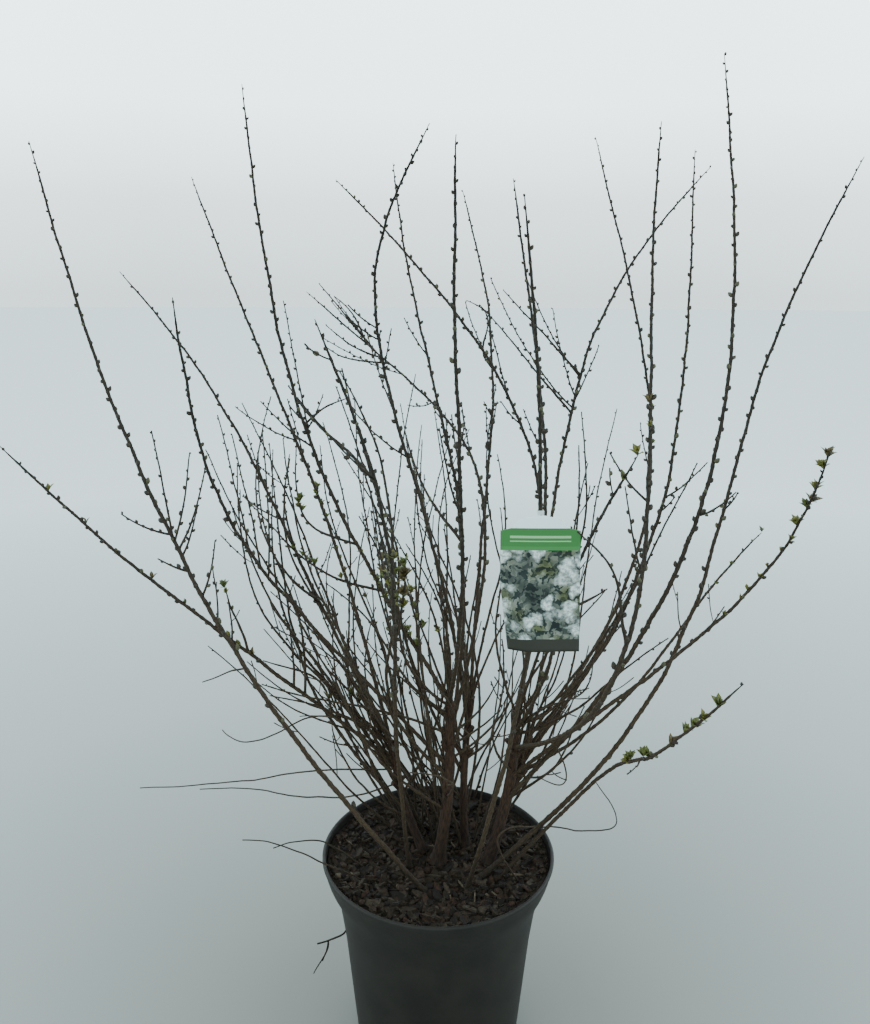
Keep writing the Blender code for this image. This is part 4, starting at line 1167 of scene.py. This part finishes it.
bud_shapes = Bundle()
dice = random.Random(5)
for path, spacing, size in budded:
    turn = dice.uniform(0, math.tau)
    total = length_of(path)
    for point, along, radius, run in along_path(path, spacing, spacing):
        turn += math.radians(144) + dice.gauss(0, 0.2)
        bare = 0.92 if point.z < 0.45 else 0.5 if point.z < 0.60 else 0.08
        if dice.random() < bare:
            continue
        out, lean = leaning(along, turn, math.radians(dice.uniform(20, 42)))
        lean = (lean + Vector((0.0, 0.0, 0.55)) * (1.0 - abs(along.z))).normalized()
        swell = 1.0 - 0.50 * (run / total) ** 2
        length = 0.0068 * size * swell * dice.uniform(0.75, 1.25)
        corners, faces = bud_shape(point + out * (radius * 0.75), lean, length, length * 0.34)
        bud_shapes.add_shape(corners, faces, 0 if dice.random() < 0.80 else 1)
bud_brown, shader = new_finish("bud_brown", (0.034, 0.028, 0.019), 0.7)
place = add_node(bud_brown, "TexCoord")
tones, grain, relief = mottled(
    bud_brown, shader, place, "Object", 900.0, (0.016, 0.013, 0.009), (0.052, 0.042, 0.028), 0.4
)
wire(bud_brown, tones, "Color", shader, "Base Color")
bud_green, shader = new_finish("bud_green", (0.066, 0.064, 0.034), 0.6)
place = add_node(bud_green, "TexCoord")
tones, grain, relief = mottled(
    bud_green, shader, place, "Object", 900.0, (0.036, 0.034, 0.018), (0.095, 0.092, 0.046), 0.4
)
wire(bud_green, tones, "Color", shader, "Base Color")
buds = bud_shapes.mesh("buds", [bud_brown, bud_green])

# The first leaves: little olive rosettes where buds have opened, most on the low outer canes and
# in the middle of the crown. Each leaf is a closed sliver of a few faces, cupped along its middle.
LEAF_TUFTS = [  # main cane, or row of the thin canes; share of it; leaves; length of a leaf
    (33, 1.00, 9, 0.0095), (33, 0.90, 4, 0.007), (2, 0.49, 9, 0.009), (2, 0.46, 7, 0.009),
    ("back_left_high", 0.40, 8, 0.009), ("back_left_high", 0.385, 6, 0.008),
    (14, 0.425, 6, 0.008), (14, 0.455, 6, 0.008), ("back_left_high", 0.305, 6, 0.009),
    ("back_left_high", 0.290, 5, 0.008), (14, 0.225, 6, 0.008), ("back_left_high", 0.27, 5, 0.008),
    ("left_high", 0.23, 5, 0.008), ("left_high", 0.19, 7, 0.009), ("left_high", 0.17, 6, 0.009),
    ("left_high", 0.155, 6, 0.009), ("left_high", 0.09, 5, 0.009), (3, 0.13, 8, 0.010),
    (3, 0.20, 7, 0.009), ("front_left_fan", 0.575, 7, 0.009), ("front_left_fan", 0.55, 6, 0.009),
    (18, 0.93, 9, 0.009), (18, 0.97, 7, 0.008), (18, 0.52, 8, 0.010), (18, 0.58, 8, 0.010),
    (19, 0.40, 7, 0.009), (34, 1.00, 9, 0.010), (34, 0.70, 7, 0.009), (35, 1.00, 9, 0.010),
    (35, 0.80, 8, 0.010), (35, 0.60, 7, 0.009), (21, 0.255, 6, 0.009), (17, 0.13, 6, 0.009),
    ("right_low", 0.985, 10, 0.0115), ("right_low", 0.96, 10, 0.01035), ("right_low", 0.91, 11, 0.0115),
    ("right_low", 0.88, 10, 0.0115), ("right_low", 0.865, 9, 0.01035), ("right_low", 0.82, 10, 0.0115),
    ("right_low", 0.78, 5, 0.009), ("right_low", 0.745, 4, 0.007), ("right_low", 0.70, 4, 0.007),
    ("right_low", 0.67, 4, 0.007), ("right_low", 0.635, 4, 0.007), ("right_low", 0.61, 4, 0.007),
    ("right_low", 0.565, 4, 0.007), ("right_lowest", 0.50, 6, 0.010), ("right_lowest", 0.53, 7, 0.010),
    ("right_lowest", 0.62, 7, 0.010), ("right_lowest", 0.66, 6, 0.009), ("right_lowest", 0.765, 6, 0.010),
    ("right_lowest", 0.82, 8, 0.011), ("right_lowest", 0.845, 8, 0.011), ("right_lowest", 0.88, 6, 0.009),
    ("right_lowest", 0.93, 7, 0.009), ("back_right_low", 1.00, 6, 0.008), ("back_right_low", 0.84, 4, 0.007),
    ("back_right_low", 0.76, 4, 0.006), ("right_inner", 0.63, 6, 0.009), ("front_right", 0.935, 5, 0.008),
    ("front_right", 0.995, 6, 0.009), ("left_low", 0.43, 4, 0.010), ("left_low", 0.405, 4, 0.010),
    ("left_low", 0.375, 4, 0.010), ("left_low", 0.55, 3, 0.008), ("left_low", 0.63, 3, 0.008),
    ("left_low", 0.71, 3, 0.008), ("left_low", 0.79, 3, 0.007), ("left_low", 0.88, 4, 0.008),
    (34, 0.78, 9, 0.011), (34, 0.67, 8, 0.011), (34, 0.50, 7, 0.010), (34, 0.35, 7, 0.010),
    ("front_left_fan", 0.60, 8, 0.011), ("front_left_fan", 0.63, 7, 0.010), (35, 0.86, 9, 0.011),
    (35, 0.57, 8, 0.011), (35, 0.43, 7, 0.010), (18, 0.78, 8, 0.011), (18, 0.67, 7, 0.010),
    ("left_high", 0.180, 7, 0.010), ("left_high", 0.152, 7, 0.011), ("left_high", 0.100, 6, 0.010),
    ("left_high", 0.077, 8, 0.011), (3, 0.08, 7, 0.010), (39, 0.94, 6, 0.009), (2, 0.53, 9, 0.011),
    (2, 0.56, 8, 0.010), ("back_left_high", 0.410, 8, 0.011), ("back_left_high", 0.36, 6, 0.009),
    (14, 0.49, 6, 0.010), (14, 0.40, 7, 0.010), (1, 0.10, 5, 0.009), (41, 0.32, 8, 0.011),
    (41, 0.27, 9, 0.011), (21, 0.28, 7, 0.010), (36, 0.50, 6, 0.010), ("back_right_high", 0.55, 5, 0.008),
    ("right_inner", 0.60, 5, 0.008), ("back_right_high", 0.495, 5, 0.008),
]


def leaf_shape(root, along, face, length, width):
    """A cupped sliver: two belts of four corners between a foot and a tip. 10 corners, 16 faces."""
    side = along.cross(face).normalized()
    corners = [tuple(root)]
    for up, share, lift in ((0.34, 0.85, 0.02), (0.70, 1.0, 0.10)):
        middle = root + along * (length * up) - face * (length * lift)
        half = width * share / 2
        for across, rise in ((1.0, 0.30), (0.0, 0.10), (-1.0, 0.30), (0.0, -0.14)):
            corners.append(tuple(middle + side * (half * across) + face * (half * rise)))
    corners.append(tuple(root + along * length - face * (length * 0.26)))
    faces = []
    for number in range(4):
        beside = (number + 1) % 4
        faces.append((0, 1 + number, 1 + beside))
        faces.append((1 + number, 5 + number, 5 + beside, 1 + beside))
        faces.append((5 + number, 9, 5 + beside))
    return np.array(corners), faces


leaf_shapes = Bundle()
dice = random.Random(71)
for limb, share, count, length in LEAF_TUFTS:
    parent = thin_paths[limb] if isinstance(limb, int) else whole_canes[limb]
    point, along, radius = place_on(parent, share)
    tone = dice.choice((0, 0, 1, 1, 2))
    turn = dice.uniform(0, math.tau)
    heart = (leaning(along, turn, math.radians(40))[1] * 0.7 + Vector((0.0, 0.0, 0.9))).normalized()
    spur = point + heart * (radius + 0.0006)
    for number in range(count):
        turn += GOLDEN_ANGLE
        opening = math.radians(6 + 38 * number / count) + dice.gauss(0, 0.08)
        face, lean = leaning(heart, turn, opening)
        size = length * dice.uniform(0.8, 1.25)
        corners, faces = leaf_shape(spur, lean, (heart - lean * heart.dot(lean)).normalized(), size, size * 0.48)
        leaf_shapes.add_shape(corners, faces, tone)
leaf_finishes = []
for name, dark, light in (
    ("leaf_olive", (0.075, 0.078, 0.014), (0.195, 0.188, 0.040)),
    ("leaf_green", (0.050, 0.066, 0.016), (0.135, 0.148, 0.036)),
    ("leaf_bronze", (0.060, 0.047, 0.016), (0.130, 0.100, 0.034)),
):
    finish, shader = new_finish(name, light, 0.62)
    place = add_node(finish, "TexCoord")
    tones, grain, relief = mottled(finish, shader, place, "Object", 420.0, dark, light, 0.3)
    wire(finish, tones, "Color", shader, "Base Color")
    leaf_finishes.append(finish)
leaves = leaf_shapes.mesh("leaf_tufts", leaf_finishes)

# The floor, the light and the camera aren't part of the plant: a pale floor with painted shade, darker round
# the pot and towards the camera, soft studio light from all round with a broad lamp above and in front, and a camera
# that stands where the photograph's stood, just above the middle of the crown and looking slightly down.
bpy.ops.object.select_all(action="DESELECT")
bpy.ops.mesh.primitive_circle_add(vertices=128, radius=60.0, fill_type="NGON", location=(0, 0, -0.001))
floor = bpy.context.object
floor.name = "floor"
pale, shader = new_finish("pale_floor_painted_shade", (0.62, 0.65, 0.66), 0.95)
shader.inputs["Specular IOR Level"].default_value = 0.0
place = add_node(pale, "TexCoord")
reach = add_node(pale, "VectorMath", {"operation": "LENGTH"})
wire(pale, place, "Object", reach, 0)
# Painted shade: the floor is dark round the pot and grows pale further out.
floor_painted_shade = add_node(pale, "ValToRGB")
floor_painted_shade.color_ramp.elements[0].position = 0.0
floor_painted_shade.color_ramp.elements[0].color = (0.275, 0.285, 0.265, 1.0)
floor_painted_shade.color_ramp.elements[1].position = 1.0
floor_painted_shade.color_ramp.elements[1].color = (0.87, 0.95, 0.97, 1.0)
painted_shade_middle = floor_painted_shade.color_ramp.elements.new(0.27)
painted_shade_middle.color = (0.475, 0.515, 0.515, 1.0)
span = add_node(pale, "MapRange")
span.inputs["From Min"].default_value = 0.2
span.inputs["From Max"].default_value = 3.2
wire(pale, reach, "Value", span, "Value")
wire(pale, span, "Result", floor_painted_shade, "Fac")
floor_apart = add_node(pale, "SeparateXYZ")
wire(pale, place, "Object", floor_apart, "Vector")
# Painted shade: the floor darkens in front of the plant, towards the camera.
front_painted_shade = add_node(pale, "MapRange")
for entry, value in (("From Min", -3.2), ("From Max", -0.6), ("To Min", 0.62), ("To Max", 1.0)):
    front_painted_shade.inputs[entry].default_value = value
wire(pale, floor_apart, "Y", front_painted_shade, "Value")
floor_with_painted_shade = add_node(pale, "Mix", {"data_type": "RGBA", "blend_type": "MULTIPLY"})
floor_with_painted_shade.inputs[0].default_value = 1.0
wire(pale, floor_painted_shade, "Color", floor_with_painted_shade, 6)
wire(pale, front_painted_shade, "Result", floor_with_painted_shade, 7)
pale.node_tree.links.new(floor_with_painted_shade.outputs[2], shader.inputs["Base Color"])
floor.data.materials.append(pale)
world = bpy.data.worlds.new("studio")
bpy.context.scene.world = world
world.use_nodes = True
sky = world.node_tree.nodes["Background"]
sky.inputs["Color"].default_value = (0.80, 0.945, 0.985, 1.0)
way = world.node_tree.nodes.new("ShaderNodeTexCoord")
parts = world.node_tree.nodes.new("ShaderNodeSeparateXYZ")
world.node_tree.links.new(way.outputs["Generated"], parts.inputs[0])
rise = world.node_tree.nodes.new("ShaderNodeValToRGB")
rise.color_ramp.elements[0].color = (0.415, 0.415, 0.415, 1.0)
rise.color_ramp.elements[1].color = (0.28, 0.28, 0.28, 1.0)
for level, grey in ((0.10, 0.58), (0.20, 0.96), (0.32, 1.08), (0.45, 0.66), (0.65, 0.32)):
    stop = rise.color_ramp.elements.new(level)
    stop.color = (grey, grey, grey, 1.0)
world.node_tree.links.new(parts.outputs["Z"], rise.inputs["Fac"])
back = world.node_tree.nodes.new("ShaderNodeMapRange")
for entry, value in (("From Min", -1.0), ("From Max", 1.0), ("To Min", 2.6), ("To Max", 3.95)):
    back.inputs[entry].default_value = value
world.node_tree.links.new(parts.outputs["Y"], back.inputs["Value"])
side = world.node_tree.nodes.new("ShaderNodeMath")
side.operation = "ABSOLUTE"
world.node_tree.links.new(parts.outputs["X"], side.inputs[0])
wide = world.node_tree.nodes.new("ShaderNodeMapRange")
for entry, value in (("From Min", 0.3), ("From Max", 1.0), ("To Min", 1.0), ("To Max", 1.45)):
    wide.inputs[entry].default_value = value
world.node_tree.links.new(side.outputs["Value"], wide.inputs["Value"])
around = world.node_tree.nodes.new("ShaderNodeMath")
around.operation = "MULTIPLY"
world.node_tree.links.new(back.outputs["Result"], around.inputs[0])
world.node_tree.links.new(wide.outputs["Result"], around.inputs[1])
both = world.node_tree.nodes.new("ShaderNodeMath")
both.operation = "MULTIPLY"
world.node_tree.links.new(rise.outputs["Color"], both.inputs[0])
world.node_tree.links.new(around.outputs["Value"], both.inputs[1])
world.node_tree.links.new(both.outputs["Value"], sky.inputs["Strength"])
for name, spot, aim, size, power in (
    ("above", (0.3, -0.8, 3.2), (0.0, 0.0, 0.6), 2.6, 8.0),
    ("front", (-1.6, -2.6, 1.8), (0.0, 0.0, 0.5), 2.0, 4.0),
):
    lamp = bpy.data.lights.new(name, "AREA")
    lamp.shape = "DISK"
    lamp.size = size
    lamp.energy = power
    holder = bpy.data.objects.new(name, lamp)
    holder.location = spot
    holder.rotation_euler = (Vector(aim) - Vector(spot)).to_track_quat("-Z", "Y").to_euler()
    bpy.context.scene.collection.objects.link(holder)
eye = bpy.data.cameras.new("eye")
eye.lens = 31.60
eye.sensor_width = 36.0
eye.shift_y = -0.158
camera = bpy.data.objects.new("eye", eye)
camera.location = (-0.007, -1.054, 0.899)
camera.rotation_euler = (math.radians(90.0 - 3.57), math.radians(-0.27), 0.0)
bpy.context.scene.collection.objects.link(camera)
bpy.context.scene.camera = camera
